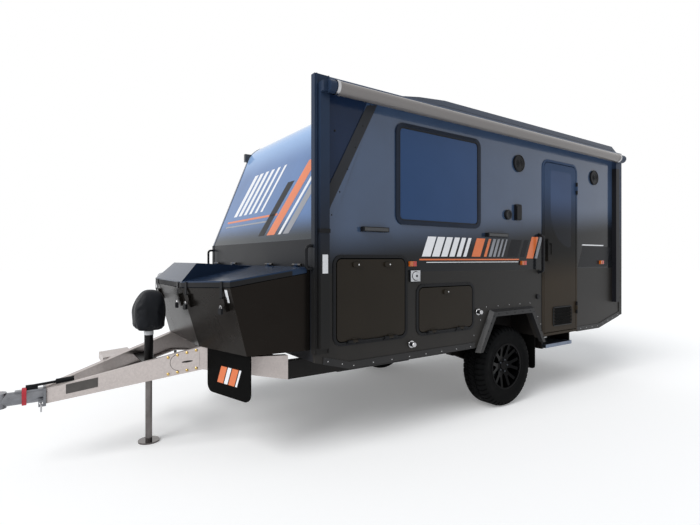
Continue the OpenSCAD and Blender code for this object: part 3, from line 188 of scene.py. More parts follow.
def pipe(path, radius, sides=10, closed=False):
    """A round profile carried along a path: at each point the circle lies across the path's
    direction, turned from one fixed upright so that it doesn't twist."""
    path = np.asarray(path, float)
    ahead = np.roll(path, -1, 0) - np.roll(path, 1, 0) if closed else np.gradient(path, axis=0)
    ahead /= np.linalg.norm(ahead, axis=1)[:, None]
    upright = np.array([0.13, 0.21, 0.97])
    side = np.cross(ahead, upright)
    side /= np.linalg.norm(side, axis=1)[:, None]
    top = np.cross(side, ahead)
    a = circle(sides)[None, :, None]
    ring = path[:, None] + radius * (np.cos(a) * side[:, None] + np.sin(a) * top[:, None])
    faces = [quads(len(path), sides, wrap_rows=closed, wrap_columns=True)]
    if not closed:
        last = (len(path) - 1) * sides
        faces += [np.arange(sides)[None, ::-1], (last + np.arange(sides))[None]]
    return ring.reshape(-1, 3), faces


def joined(parts):
    """Several (points, faces) sets as one, each set's faces shifted past the points before it."""
    points, faces, start = [], [], 0
    for p, fs in parts:
        points.append(p)
        faces += [f + start for f in fs]
        start += len(p)
    return np.vstack(points), faces


def plates(outlines, out, thickness):
    """Thin plates: each outline of four corners is lifted along the unit vector out by thickness."""
    outlines = np.asarray(outlines, float)
    points = np.concatenate([outlines, outlines + np.asarray(out) * thickness], axis=1)
    cube = np.array([[3, 2, 1, 0], [4, 5, 6, 7], [0, 1, 5, 4], [1, 2, 6, 5], [2, 3, 7, 6], [3, 0, 4, 7]])
    faces = (cube[None] + 8 * np.arange(len(outlines))[:, None, None]).reshape(-1, 4)
    # The faces are turned where the corners run the other way round
    normal = np.cross(outlines[0, 1] - outlines[0, 0], outlines[0, 3] - outlines[0, 0])
    return points.reshape(-1, 3), [faces if normal @ np.asarray(out) > 0 else faces[:, ::-1]]


def mirrored(points):
    """The same points on the other side of the middle plane."""
    return np.asarray(points) * [1, -1, 1] + [0, 2 * MID_Y, 0]


def both_sides(points, faces):
    """A piece on the left and its mirror image on the right."""
    return joined([(points, faces), (mirrored(points), [f[:, ::-1] for f in faces])])


print("helpers ready")

# %% [markdown]
# Real finishes are never one flat colour. Sprayed gloss paint has a fine orange peel, powder coat has
# a coarser grain, zinc dip has spangles and everything near the road gathers dust. Each such effect is
# one node group, built once and placed in every material that needs it.

# %% Node groups
def node(tree, kind, **values):
    """Adds a shader node; values name its properties or, as in_NAME, its input sockets."""
    n = tree.nodes.new("ShaderNode" + kind)
    for key, value in values.items():
        if key.startswith("in_"):
            n.inputs[key[3:].replace("_", " ")].default_value = value
        else:
            setattr(n, key, value)
    return n


def new_group(name, outputs, **inputs):
    """A shader group with named value sockets; returns its tree, a node with the object's coordinates,
    the node of the inputs and the node of the outputs."""
    tree = bpy.data.node_groups.new(name, "ShaderNodeTree")
    kind = "NodeSocketFloat"
    for label, value in inputs.items():
        tree.interface.new_socket(name=label, in_out="INPUT", socket_type=kind).default_value = value
    for label in outputs:
        tree.interface.new_socket(name=label, in_out="OUTPUT", socket_type=kind)
    ends = tree.nodes.new("NodeGroupInput"), tree.nodes.new("NodeGroupOutput")
    return tree, node(tree, "TexCoord"), *ends


def wire(tree, *links):
    """Joins sockets: each link gives a node and its output, then a node and its input."""
    for source, output, target, entry in links:
        tree.links.new(source.outputs[output], target.inputs[entry])


# Grain: two noises in object space, one coarse and one fine, as a value around one half
grain, place, given, result = new_group("paint_grain", ("Coarse", "Fine"), Coarse=3.0, Fine=400.0,
                                        Stretch=1.0)
squeeze = node(grain, "CombineXYZ", in_Y=1.0, in_Z=1.0)
scaled = node(grain, "VectorMath", operation="MULTIPLY")
wire(grain, (given, "Stretch", squeeze, "X"), (place, "Object", scaled, 0), (squeeze, 0, scaled, 1))
for label, detail in (("Coarse", 4.0), ("Fine", 2.0)):
    noise = node(grain, "TexNoise", in_Detail=detail, in_Roughness=0.55)
    wire(grain, (scaled, 0, noise, "Vector"), (given, label, noise, "Scale"), (noise, "Fac", result, label))

# Dust: a mask that fades out with height, broken up by noise
dust, place, given, result = new_group("road_dust", ("Mask",), Top=1.0, Amount=0.3)
split = node(dust, "SeparateXYZ")
fade = node(dust, "MapRange", in_From_Min=0.1, in_To_Min=1.0, in_To_Max=0.0)
noise = node(dust, "TexNoise", in_Scale=9.0, in_Detail=6.0, in_Roughness=0.62)
times = node(dust, "Math", operation="MULTIPLY")
amount = node(dust, "Math", operation="MULTIPLY", use_clamp=True)
wire(dust, (place, "Object", split, 0), (place, "Object", noise, "Vector"), (split, "Z", fade, "Value"),
     (given, "Top", fade, "From Max"), (fade, 0, times, 0), (noise, "Fac", times, 1), (times, 0, amount, 0),
     (given, "Amount", amount, 1), (amount, 0, result, "Mask"))

# Spangle: cells of zinc crystals, each with its own tone
spangle, place, given, result = new_group("zinc_spangle", ("Tone",), Scale=60.0)
cells, grey = node(spangle, "TexVoronoi"), node(spangle, "RGBToBW")
wire(spangle, (place, "Object", cells, "Vector"), (given, "Scale", cells, "Scale"),
     (cells, "Color", grey, 0), (grey, 0, result, "Tone"))

# Split: a mask that is 1 above a height, with a crisp edge, for two-tone panels
tone, place, given, result = new_group("two_tone", ("Upper",), Height=1.3)
split, above = node(tone, "SeparateXYZ"), node(tone, "Math", operation="GREATER_THAN")
wire(tone, (place, "Object", split, 0), (split, "Z", above, 0), (given, "Height", above, 1),
     (above, 0, result, "Upper"))

# Fade: a mask that goes smoothly from 0 at a low height to 1 at a high one, where Tilt lowers both
# heights towards the front. The finishes use it to paint reflection, sky light and shade into their
# base colours.
height_fade, place, given, result = new_group("height_fade", ("Mask",), Low=1.3, High=1.8, Tilt=0.0)
split = node(height_fade, "SeparateXYZ")
lean = node(height_fade, "Math", operation="MULTIPLY_ADD")
ease = node(height_fade, "MapRange", interpolation_type="SMOOTHSTEP")
wire(height_fade, (place, "Object", split, 0), (split, "X", lean, 0), (given, "Tilt", lean, 1),
     (split, "Z", lean, 2), (lean, 0, ease, "Value"), (given, "Low", ease, "From Min"),
     (given, "High", ease, "From Max"), (ease, 0, result, "Mask"))

# Weave: two sets of fine ribs crossing, as a height
weave, place, given, result = new_group("cloth_weave", ("Height",), Scale=500.0)
both = node(weave, "Math", operation="MULTIPLY")
for index, direction in enumerate("XZ"):
    wave = node(weave, "TexWave", bands_direction=direction, in_Distortion=1.2, in_Detail=1.0)
    wire(weave, (place, "Object", wave, "Vector"), (given, "Scale", wave, "Scale"),
         (wave, "Fac", both, index))
wire(weave, (both, 0, result, "Height"))
print("groups", [g.name for g in bpy.data.node_groups])

# %% [markdown]
# A finish is a Principled shader with constants set on its own sockets and the groups feeding colour,
# roughness and bump. Colours are linear values chosen against the photograph. Every finish is
# kept in looks by its name.

# %% Finish builder
looks = {}
DUST_TONE = (0.19, 0.15, 0.115)
MIX_FIRST, MIX_SECOND, MIX_RESULT = 6, 7, 2
SPLIT_Z, LOWER_ROUGH, UPPER_COAT = 1.317, 0.40, 0.65


def shader_of(name, **constants):
    """A new material in looks; returns its tree and its Principled shader, constants on the sockets."""
    looks[name] = bpy.data.materials.new(name)
    looks[name].use_nodes = True
    tree = looks[name].node_tree
    shader = tree.nodes["Principled BSDF"]
    for key, value in constants.items():
        shader.inputs[key.replace("_", " ")].default_value = value
    return tree, shader


def feed(tree, shader, **values):
    """Links values to the shader's sockets of those names."""
    for key, value in values.items():
        tree.links.new(value, shader.inputs[key.replace("_", " ")])


def use(tree, group, **values):
    """Places a node group in a material, with its own input values; returns its outputs."""
    n = tree.nodes.new("ShaderNodeGroup")
    n.node_tree = group
    for key, value in values.items():
        n.inputs[key].default_value = value
    return n.outputs


def mix(tree, mask, first, second):
    """A colour that goes from first to second with the mask; each is a socket or a plain colour."""
    n = node(tree, "Mix", data_type="RGBA")
    tree.links.new(mask, n.inputs["Factor"])
    for index, value in ((MIX_FIRST, first), (MIX_SECOND, second)):
        if isinstance(value, bpy.types.NodeSocket):
            tree.links.new(value, n.inputs[index])
        else:
            n.inputs[index].default_value = (*value, 1.0)
    return n.outputs[MIX_RESULT]


def spread(tree, value, low_end, high_end, start=0.3, stop=0.7):
    """Maps a value's range onto another range."""
    n = node(tree, "MapRange", in_From_Min=start, in_From_Max=stop, in_To_Min=low_end, in_To_Max=high_end)
    tree.links.new(value, n.inputs["Value"])
    return n.outputs[0]


def mottle(tree, value, dark, pale):
    """A colour that goes from dark to pale over the middle of a value's range."""
    return mix(tree, spread(tree, value, 0, 1), dark, pale)


def raised(tree, shader, height, strength, depth):
    """Feeds a height into the shader's normal through a bump."""
    n = node(tree, "Bump", in_Strength=strength, in_Distance=depth)
    tree.links.new(height, n.inputs["Height"])
    feed(tree, shader, Normal=n.outputs["Normal"])


def dimmed(colour, share):
    """A colour times a share."""
    return tuple(c * share for c in colour)


def finish(name, colour, rough, vary=0.18, coarse=3.0, fine=420.0, stretch=1.0, bump=0.0, depth=0.0004,
           dusty=None, lower=None, painted_fades=(), tilt=0.0, spec=0.5, **constants):
    """A painted, moulded or metal finish. vary is the tone's change over the surface; dusty gives the
    height where dust ends and its amount; lower gives a second colour below SPLIT_Z, where the clear
    coat ends; each painted fade gives two heights, the tone at the low one and the tone at the high one,
    where None keeps the colour, and is painted reflection and sky light set in the tone; tilt lowers
    those heights towards the front; spec and constants are sockets."""
    tree, shader = shader_of(name, Specular_IOR_Level=spec, **constants)
    g = use(tree, grain, Coarse=coarse, Fine=fine, Stretch=stretch)
    shade = mottle(tree, g["Coarse"], dimmed(colour, 1 - vary), dimmed(colour, 1 + vary))
    roughness = spread(tree, g["Coarse"], rough * (1 - vary), rough * (1 + vary))
    for start, stop, below, above in painted_fades:
        painted_mask = use(tree, height_fade, Low=start, High=stop, Tilt=tilt)["Mask"]
        shade = mix(tree, painted_mask, below or shade, above or shade)
    if lower:
        upper = use(tree, tone, Height=SPLIT_Z)["Upper"]
        shade = mix(tree, upper, mottle(tree, g["Fine"], dimmed(lower, 0.9), dimmed(lower, 1.1)), shade)
        roughness = spread(tree, upper, LOWER_ROUGH, rough, 0.0, 1.0)
        glossy = node(tree, "Math", operation="MULTIPLY")
        glossy.inputs[0].default_value = 1.0
        if painted_fades:
            tree.links.new(painted_mask, glossy.inputs[0])
        tree.links.new(upper, glossy.inputs[1])
        feed(tree, shader, Coat_Weight=spread(tree, glossy.outputs[0], 0.0, UPPER_COAT, 0.0, 1.0))
    if dusty:
        shade = mix(tree, use(tree, dust, Top=dusty[0], Amount=dusty[1])["Mask"], shade, DUST_TONE)
    feed(tree, shader, Base_Color=shade, Roughness=roughness)
    if bump:
        raised(tree, shader, g["Fine"], bump, depth)


print("finish builder ready")

# %% [markdown]
# Most of the trailer is painted, moulded or plated, and one builder covers all of that: the numbers
# say how rough, how even and how dusty each surface is. The blue of the body paint, the sloped front,
# the lid (a little bluer than its box), the door's top, the door's pane, the step and the trim is
# painted sky reflection and sky light, and the fades to a darker tone on the left side, the slope and
# the door are painted reflection.

# %% Painted, moulded and metal finishes
# The body paint's tone is dark graphite with a painted blue sky reflection, set a little lighter as painted
# sheen.
GRAPHITE_WITH_PAINTED_SKY = (0.042, 0.070, 0.130)
CHARCOAL = (0.0150, 0.0142, 0.0135)
BODY = dict(vary=0.06, lower=CHARCOAL, bump=0.05, fine=180.0, dusty=(1.1, 0.12), spec=0.18,
            Coat_Roughness=0.10)
MOULDED = dict(vary=0.15, fine=600.0)
SATIN = dict(vary=0.07, coarse=2.0, bump=0.08, fine=300.0)
VINYL_COAT = dict(vary=0.06, Coat_Weight=0.3)
BARE = dict(vary=0.15, coarse=30.0)
finish("body_gloss", GRAPHITE_WITH_PAINTED_SKY, 0.14, **BODY)
# The left wall darkens below 1.46 to 1.78 m, higher towards the rear: painted reflection of dark hills and
# trees.
finish("side_gloss", GRAPHITE_WITH_PAINTED_SKY, 0.14, painted_fades=((1.46, 1.78, (0.010, 0.011, 0.013), None),), tilt=0.10, **BODY)
finish("body_satin", (0.014, 0.015, 0.018), 0.35, vary=0.1, bump=0.08, fine=300.0, spec=0.12)
finish("roof_sheet", (0.036, 0.050, 0.080), 0.4, vary=0.12, bump=0.1, fine=260.0)
finish("wing_gloss", (0.010, 0.021, 0.052), 0.18, vary=0.1, bump=0.05, fine=180.0, spec=0.16)
# The sloped front's blue tone, its near-black foot below 1.58 to 1.80 m, its pale blue top above 2.25 to 2.62
# m and its blue specular tint are painted reflection of dark hills and the sky.
finish("slope_gloss", (0.092, 0.172, 0.355), 0.10, vary=0.06, bump=0.04, fine=180.0,
       painted_fades=((1.58, 1.80, (0.014, 0.017, 0.021), None), (2.25, 2.62, None, (0.28, 0.43, 0.68))),
       spec=0.25, Specular_Tint=(0.62, 0.82, 1.0, 1.0))
# The trim is near-black; the blue tone it takes above 1.20 to 2.30 m is painted sky light.
finish("trim_dark", (0.018, 0.031, 0.060), 0.36, vary=0.12, bump=0.2, fine=700.0, dusty=(1.0, 0.12),
       painted_fades=((1.20, 2.30, (0.012, 0.012, 0.012), None),), spec=0.12)
finish("trim_satin", (0.014, 0.0145, 0.016), 0.40, vary=0.12, bump=0.25, fine=650.0, dusty=(1.0, 0.12),
       spec=0.22)
finish("floor_board", (0.05, 0.045, 0.04), 0.6, vary=0.3, coarse=8.0, stretch=0.15)
finish("box_black", (0.006, 0.006, 0.007), 0.6, vary=0.2, bump=0.3, fine=300.0, dusty=(0.95, 0.35), spec=0.2)
# Black paint, its tone set darker still as painted shade under the body.
finish("chassis_black", (0.004, 0.004, 0.0045), 0.4, vary=0.2, bump=0.2, fine=500.0, dusty=(0.75, 0.15),
       spec=0.15)
finish("cast_black", (0.055, 0.062, 0.075), 0.45, vary=0.3, coarse=14.0, bump=0.5, fine=260.0, depth=0.001,
       Metallic=0.6)
finish("zinc", (0.085, 0.080, 0.078), 0.34, vary=0.15, coarse=20.0, stretch=0.2, bump=0.05, Metallic=1.0)
# The brown specular tint is a painted reflection of brown ground on the box's faces.
finish("toolbox_black", (0.0072, 0.0066, 0.0060), 0.26, vary=0.1, bump=0.2, fine=520.0, dusty=(1.1, 0.03),
       spec=0.10, Specular_Tint=(1.0, 0.80, 0.68, 1.0))
# The lid is the box's black metal; its blue tone and blue specular tint are painted sky reflection.
finish("lid_satin", (0.017, 0.030, 0.060), 0.18, vary=0.1, bump=0.2, fine=520.0, spec=0.14,
       Specular_Tint=(0.60, 0.80, 1.0, 1.0))
finish("flap_rubber", (0.003, 0.003, 0.003), 0.5, vary=0.2, coarse=12.0, bump=0.3, fine=240.0, spec=0.02)
finish("tyre", (0.0035, 0.0038, 0.0042), 0.6, vary=0.25, coarse=16.0, bump=0.4, fine=320.0, dusty=(0.8, 0.01),
       spec=0.03)
finish("rim_black", (0.0018, 0.0018, 0.0022), 0.12, vary=0.15, bump=0.03, spec=0.05)
finish("frame_black", (0.007, 0.0075, 0.009), 0.34, bump=0.25, spec=0.14, **MOULDED)
finish("frame_navy", (0.010, 0.016, 0.030), 0.34, bump=0.25, spec=0.12, **MOULDED)
finish("fitting_black", (0.007, 0.0075, 0.009), 0.36, bump=0.2, spec=0.12, **MOULDED)
finish("hatch_satin", (0.0165, 0.0130, 0.0090), 0.34, dusty=(1.15, 0.08), spec=0.12, **SATIN)
# The door darkens above 1.15 to 1.55 m and turns blue above 1.65 to 2.25 m: painted reflection.
finish("door_satin", (0.034, 0.026, 0.018), 0.34, spec=0.05, **SATIN,
       painted_fades=((1.15, 1.55, None, (0.009, 0.009, 0.009)), (1.65, 2.25, None, (0.034, 0.060, 0.120))))
# The door pane's blue tone and blue specular tint are painted sky reflection; below 1.70 to 2.10 m it darkens
# towards the bottom.
finish("door_tint", (0.040, 0.066, 0.135), 0.03, vary=0.1, coarse=1.3, spec=0.1,
       painted_fades=((1.70, 2.10, (0.006, 0.006, 0.007), None),), Specular_Tint=(0.45, 0.65, 1.0, 1.0))
finish("tank_plastic", (0.012, 0.012, 0.013), 0.5, vary=0.2, bump=0.2)
finish("filler_white", (0.50, 0.51, 0.53), 0.35, vary=0.05, bump=0.1)
finish("awning_vinyl", (0.18, 0.168, 0.164), 0.26, vary=0.08, coarse=6.0, stretch=0.05, bump=0.1, fine=500.0,
       Metallic=0.3)
finish("leg_plate", (0.15, 0.138, 0.134), 0.12, vary=0.2, coarse=14.0, Metallic=1.0)
finish("coupling_plate", (0.20, 0.205, 0.22), 0.30, vary=0.25, coarse=16.0, bump=0.2, Metallic=1.0)
# The step's blue tone is painted sky reflection on plain steel.
finish("step_plate", (0.16, 0.19, 0.25), 0.32, vary=0.2, coarse=12.0, bump=0.1, Metallic=1.0)
finish("stripe_orange", (0.62, 0.13, 0.02), 0.3, **VINYL_COAT)
finish("stripe_white", (0.72, 0.73, 0.76), 0.3, vary=0.04, Coat_Weight=0.3)
finish("stripe_grey", (0.20, 0.21, 0.24), 0.3, **VINYL_COAT)
finish("stripe_black", (0.010, 0.0105, 0.013), 0.3, vary=0.1, spec=0.1)
finish("strip_grey", (0.026, 0.028, 0.033), 0.35, vary=0.08, spec=0.12)
finish("lens_smoke", (0.030, 0.032, 0.036), 0.12, vary=0.2, coarse=40.0, bump=0.1)
finish("reflector", (0.62, 0.63, 0.65), 0.25, vary=0.05, coarse=60.0, bump=0.2)
finish("strap_red", (0.42, 0.016, 0.03), 0.55, bump=0.3, **BARE)
finish("plate_dark", (0.05, 0.045, 0.042), 0.4, vary=0.15, coarse=20.0)
finish("brass", (0.55, 0.38, 0.14), 0.3, Metallic=1.0, **BARE)
finish("steel_bright", (0.45, 0.45, 0.46), 0.22, vary=0.1, coarse=30.0, Metallic=1.0)
print("finishes", len(looks))

# %% [markdown]
# Some finishes need their own trees: dipped zinc with its spangles, tinted acrylic, coated cloth and
# lamp lenses. Then each CAD node gets the finish of its slot, or its own one where it differs.

# %% Special finishes
tree, shader = shader_of("galvanised", Metallic=0.85)
crystals = use(tree, spangle, Scale=90.0)["Tone"]
g = use(tree, grain, Coarse=5.0, Fine=300.0, Stretch=1.0)
zinc_tone = mix(tree, crystals, (0.47, 0.425, 0.41), (0.54, 0.490, 0.47))
dirt = use(tree, dust, Top=0.62, Amount=0.35)["Mask"]
feed(tree, shader, Base_Color=mix(tree, dirt, zinc_tone, DUST_TONE),
     Roughness=spread(tree, g["Coarse"], 0.34, 0.52))

# The pane is tinted acrylic; the blue of its tone and of its specular tint is painted sky reflection.
tree, shader = shader_of("window_tint", Roughness=0.03, IOR=1.49, Transmission_Weight=0.12,
                         Specular_Tint=(0.35, 0.60, 1.0, 1.0))
g = use(tree, grain, Coarse=1.3, Fine=90.0, Stretch=1.0)
feed(tree, shader, Base_Color=mottle(tree, g["Coarse"], (0.015, 0.040, 0.115), (0.020, 0.050, 0.140)))

tree, shader = shader_of("cover_cloth", Specular_IOR_Level=0.15, Sheen_Weight=0.06)
g = use(tree, grain, Coarse=7.0, Fine=300.0, Stretch=1.0)
feed(tree, shader, Base_Color=mottle(tree, g["Coarse"], (0.004, 0.005, 0.007), (0.007, 0.008, 0.011)),
     Roughness=spread(tree, g["Coarse"], 0.45, 0.62))
raised(tree, shader, use(tree, weave, Scale=420.0)["Height"], 0.35, 0.0006)

# Moulded lenses: fine ribs as bump and a little light let through
for name, colour in (("lamp_amber", (0.60, 0.13, 0.012)), ("lens_red", (0.55, 0.02, 0.015)),
                     ("lens_white", (0.75, 0.76, 0.78))):
    tree, shader = shader_of(name, Roughness=0.12, Transmission_Weight=0.2, Coat_Weight=0.5)
    g = use(tree, grain, Coarse=40.0, Fine=260.0, Stretch=3.0)
    feed(tree, shader, Base_Color=mottle(tree, g["Coarse"], dimmed(colour, 0.8), colour))
    raised(tree, shader, g["Fine"], 0.3, 0.0008)

own = dict(slope_wall="slope_gloss", toolbox_lid="lid_satin", entry_door="door_satin",
           door_frame="door_satin", window_frames="frame_navy", door_pane="door_tint", jack_leg="leg_plate",
           coupling="coupling_plate", side_wall_left="side_gloss", trim_strips="side_gloss",
           step_tray="step_plate")
slot_of = {part["node"]: part["material_slot"] for part in frame["record"]["subparts"]}
for name, thing in nodes.items():
    thing.data.materials.clear()
    thing.data.materials.append(looks[own.get(name, slot_of[name])])
print("dressed", len(slot_of), "CAD nodes")

# %% [markdown]
# The stage is a pale floor under a white sky. A wide sun lights floor and object at a plain level, at
# which a colour renders about as written. Camera, mirror and see-through rays meet plain white, while
# the light that the world sheds is a little blue, as outdoors.

# %% Floor, world and sun
REACH = 60.0
WHITE = (1.0, 1.0, 1.0, 1.0)
floor_mesh = bpy.data.meshes.new("floor")
floor_mesh.from_pydata([(-REACH, -REACH, 0), (REACH, -REACH, 0), (REACH, REACH, 0), (-REACH, REACH, 0)], [],
                       [(0, 1, 2, 3)])
floor = bpy.data.objects.new("floor", floor_mesh)
bpy.context.collection.objects.link(floor)
shader_of("pale_floor", Base_Color=(0.93, 0.93, 0.93, 1.0), Roughness=0.9, Specular_IOR_Level=0.0,
          Emission_Color=WHITE, Emission_Strength=0.19)
floor_mesh.materials.append(looks["pale_floor"])

world = bpy.data.worlds.new("white_room")
bpy.context.scene.world = world
world.use_nodes = True
tree = world.node_tree
sky = tree.nodes["Background"]
sky.inputs["Color"].default_value = (0.94, 0.97, 1.0, 1.0)
sky.inputs["Strength"].default_value = 0.50
paper = node(tree, "Background", in_Color=WHITE, in_Strength=1.0)
light_path = node(tree, "LightPath")
seen = light_path.outputs["Is Camera Ray"]
for ray in ("Is Glossy Ray", "Is Transmission Ray"):
    either = node(tree, "Math", operation="MAXIMUM")
    tree.links.new(seen, either.inputs[0])
    tree.links.new(light_path.outputs[ray], either.inputs[1])
    seen = either.outputs[0]
blend_sky = node(tree, "MixShader")
tree.links.new(seen, blend_sky.inputs["Fac"])
wire(tree, (sky, 0, blend_sky, 1), (paper, 0, blend_sky, 2),
     (blend_sky, 0, tree.nodes["World Output"], "Surface"))

SUN_FALL = Vector((-7.5, -2.0, -6.5))
sun_data = bpy.data.lights.new("sun", "SUN")
sun_data.energy = 2.2
sun_data.angle = np.radians(35)
sun = bpy.data.objects.new("sun", sun_data)
sun.rotation_euler = SUN_FALL.to_track_quat("-Z", "Y").to_euler()
bpy.context.collection.objects.link(sun)
print("stage set, lamps", len(bpy.data.lights))

# %% [markdown]
# An all-terrain tyre: the CAD casing is smooth, so a new surface stands for it. Its section runs from
# the inner bead over the tread to the outer bead and back inside, and the tread is a relief of blocks:
# two zigzag grooves, slanted slots between them and shoulder lugs that wrap over the edges.

# %% Tyres
TYRE_R, RIM_R = (((high(n) - low(n)) / 2)[0] for n in ("tyre_left", "rim_left"))
TYRE_W = (high("tyre_left") - low("tyre_left"))[1]
TREAD_DEEP, SHOULDER, GROOVE_AT, LUG_GAP = 0.011, 0.058, 0.30, 0.26
CASING_T, SIDE_T, BEND_DOWN, BEND_IN = 0.026, 0.017, 0.07, 0.05
TURNS, BLOCKS, RIBS = 660, 44, 120
WALL_N, TREAD_N, END_N, FLOOR_N = 14, 56, 6, 5
ON_WALL, ON_TREAD, INSIDE = 0.0, 9.0, -1.0


def bell(value, middle, width):
    """A smooth hump: one at the middle, falling with the square of the distance over the width."""
    return np.exp(-((value - middle) / width) ** 2)


def tyre_surface(centre, mirror):
    """Section points go round the axle. Radius = section radius minus tread depth times the groove
    mask, which is 1 in a groove and 0 on a block; the mask depends on the angle and on the place
    across the tread."""
    half = TYRE_W / 2 - 0.001
    crown = TYRE_R - 0.0006
    bead = RIM_R + 0.001
    bulge = np.linspace(0, np.pi / 2, WALL_N)
    across = np.linspace(-1, 1, TREAD_N)
    # Side wall from bead to shoulder, tread across, the other side wall, then back inside
    side_r = np.linspace(bead, crown - SHOULDER, WALL_N, endpoint=False)
    side_y = half - 0.004 - 0.010 * np.cos(np.linspace(0, np.pi, WALL_N)) * 0.5
    round_r = crown - SHOULDER + SHOULDER * np.sin(bulge)
    round_y = half - SHOULDER + SHOULDER * np.cos(bulge)
    flat_y = across * (half - SHOULDER)
    flat_r = crown - 0.0035 * across ** 2
    end_r = np.linspace(bead, TYRE_R - BEND_DOWN, END_N)
    inner_r = np.concatenate([end_r, np.full(FLOOR_N, TYRE_R - CASING_T),
                              np.linspace(TYRE_R - BEND_DOWN, bead, END_N)])
    inner_y = np.concatenate([np.full(END_N, -half + SIDE_T),
                              np.linspace(-half + BEND_IN, half - BEND_IN, FLOOR_N),
                              np.full(END_N, half - SIDE_T)])
    r = np.concatenate([side_r, round_r, flat_r[::-1], round_r[::-1], side_r[::-1], inner_r])
    y = np.concatenate([side_y, round_y, flat_y[::-1], -round_y[::-1], -side_y[::-1], inner_y])
    part = np.concatenate([np.full(WALL_N, ON_WALL), bulge, np.full(TREAD_N, ON_TREAD), bulge[::-1],
                           np.full(WALL_N, ON_WALL), np.full(len(inner_r), INSIDE)])[None]
    a, v = np.meshgrid(circle(TURNS), y / half, indexing="ij")
    pitch = a * BLOCKS / (2 * np.pi)
    zig = 0.045 * np.abs(2 * (pitch % 1) - 1)
    ring_groove = np.abs(np.abs(v) - GROOVE_AT - zig) < 0.035
    central = np.abs(v) < GROOVE_AT + zig
    slant = (pitch + 0.9 * v * np.where(central, 1, 0)) % 1
    slot_mid = central & (slant < 0.16) & (np.abs(v) > 0.03)
    gap = (pitch + 0.5 + 0.25 * np.sign(v)) % 1 < LUG_GAP
    sipe = central & (np.abs(slant - 0.58) < 0.035)
    edge = (part > 0.35) & (part < 2.0)
    grooves = np.maximum(ring_groove | slot_mid | (~central & gap), 0.45 * sipe)
    groove = np.where(edge, np.where(gap, 0.9, 0.0), np.where(part == ON_TREAD, grooves, 0.0))
    # Raised rings and a band of short ribs on the side walls
    lift = 0.0022 * bell(r, RIM_R + 0.018, 0.006) + 0.0016 * bell(r, RIM_R + 0.082, 0.004)
    ribs = 0.0012 * ((a * RIBS / (2 * np.pi)) % 1 < 0.5) * bell(r, RIM_R + 0.092, 0.006)[None]
    rr = r[None] - TREAD_DEEP * groove
    outer = np.sign(v)
    yy = v * half - outer * 0.003 * groove * edge + outer * (part == ON_WALL) * (lift[None] + ribs) * 0.9
    yy = np.clip(yy, -half, half)
    points = np.stack([centre[0] + rr * np.cos(a), centre[1] + mirror * yy, centre[2] + rr * np.sin(a)],
                      axis=-1)
    faces = quads(TURNS, len(r), wrap_rows=True, wrap_columns=True)
    return points, faces if mirror > 0 else faces[:, ::-1]


for side, mirror in SIDES:
    points, faces = tyre_surface(middle("tyre_" + side), mirror)
    tyre = put("tread_" + side, points, faces, "tyre", "wheel_" + side, "tyre", crease=28.0)
    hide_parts("tyre_" + side)
    print(tyre.name, len(tyre.data.polygons), "faces")

# %% [markdown]
# The jack's head sits under a padded cloth hood. Its form is a superellipse that closes over the top;
# a short cloth simulation with a little air pressure makes it swell and wrinkle, and a drawcord
# gathers its lower edge. The simulation is capped, so the hood keeps the place of its CAD solid.

# %% Jack cover
hood_low, hood_mid = low("jack_cover"), middle("jack_cover")
hood_half = (high("jack_cover") - hood_low) / 2
HOOD_ROWS, HOOD_COLUMNS, WALL_SHARE = 40, 56, 0.62
VOXEL, PRESSURE, TICKS, MOST_MOVE = 0.006, 3.0, 15, 0.007


def rounded_turn(a, power):
    """Both coordinates of a superellipse: cosine and sine, each to 2 / power with its sign kept."""
    return [np.sign(c) * np.abs(c) ** (2 / power) for c in (np.cos(a), np.sin(a))]


def hood_points():
    """Rows climb the hood and close over it. Each ring is a superellipse of power 5; its size is
    full up to two thirds of the height, then falls as a quarter of an ellipse, and pulls in at the hem.
    The top falls away to the front with the square of the reach."""
    t = np.linspace(0, 1, HOOD_ROWS)[:, None]
    wall = np.clip(t / WALL_SHARE, 0, 1)
    dome = np.clip((t - WALL_SHARE) / (1 - WALL_SHARE), 0, 1) * np.pi / 2
    size = np.where(t <= WALL_SHARE, 0.88 + 0.08 * np.sqrt(np.clip(wall * 3, 0, 1)),
                    0.96 * np.cos(dome) ** 0.6)
    size = np.maximum(size, 0.004)
    z = np.where(t <= WALL_SHARE, 0.04 + 0.60 * wall, 0.64 + 0.33 * np.sin(dome))
    ca, sa = rounded_turn(circle(HOOD_COLUMNS)[None], 5)
    x = 0.94 * hood_half[0] * size * ca
    y = 0.96 * hood_half[1] * size * sa
    z = z - 0.34 * np.clip(x / hood_half[0], 0, 1) ** 2 * np.clip((z - 0.35) / 0.6, 0, 1)
    return np.stack([hood_mid[0] + x, hood_mid[1] + y, hood_low[2] + 2 * hood_half[2] * z], axis=-1)


hem = np.arange(HOOD_COLUMNS)
faces = [quads(HOOD_ROWS, HOOD_COLUMNS, wrap_columns=True), hem[None, ::-1],
         ((HOOD_ROWS - 1) * HOOD_COLUMNS + hem)[None]]
hood = put("jack_hood", hood_points(), faces, "cover_cloth", TRAILER, "cover_cloth", crease=80.0)
remesh = hood.modifiers.new("even", "REMESH")
remesh.mode = "VOXEL"
remesh.voxel_size = VOXEL
bpy.context.view_layer.objects.active = hood
bpy.ops.object.modifier_apply(modifier=remesh.name)
before = points_of(hood.data)
air = hood.modifiers.new("air", "CLOTH")
air.settings.use_pressure = True
air.settings.uniform_pressure_force = PRESSURE
air.settings.effector_weights.gravity = 0.0
for tick in range(1, TICKS + 1):
    bpy.context.scene.frame_set(tick)
move = points_of(hood.evaluated_get(bpy.context.evaluated_depsgraph_get()).to_mesh()) - before
hood.modifiers.remove(air)
bpy.context.scene.frame_set(1)
far = np.linalg.norm(move, axis=1, keepdims=True)
move *= np.minimum(1.0, MOST_MOVE / np.maximum(far, 1e-9))
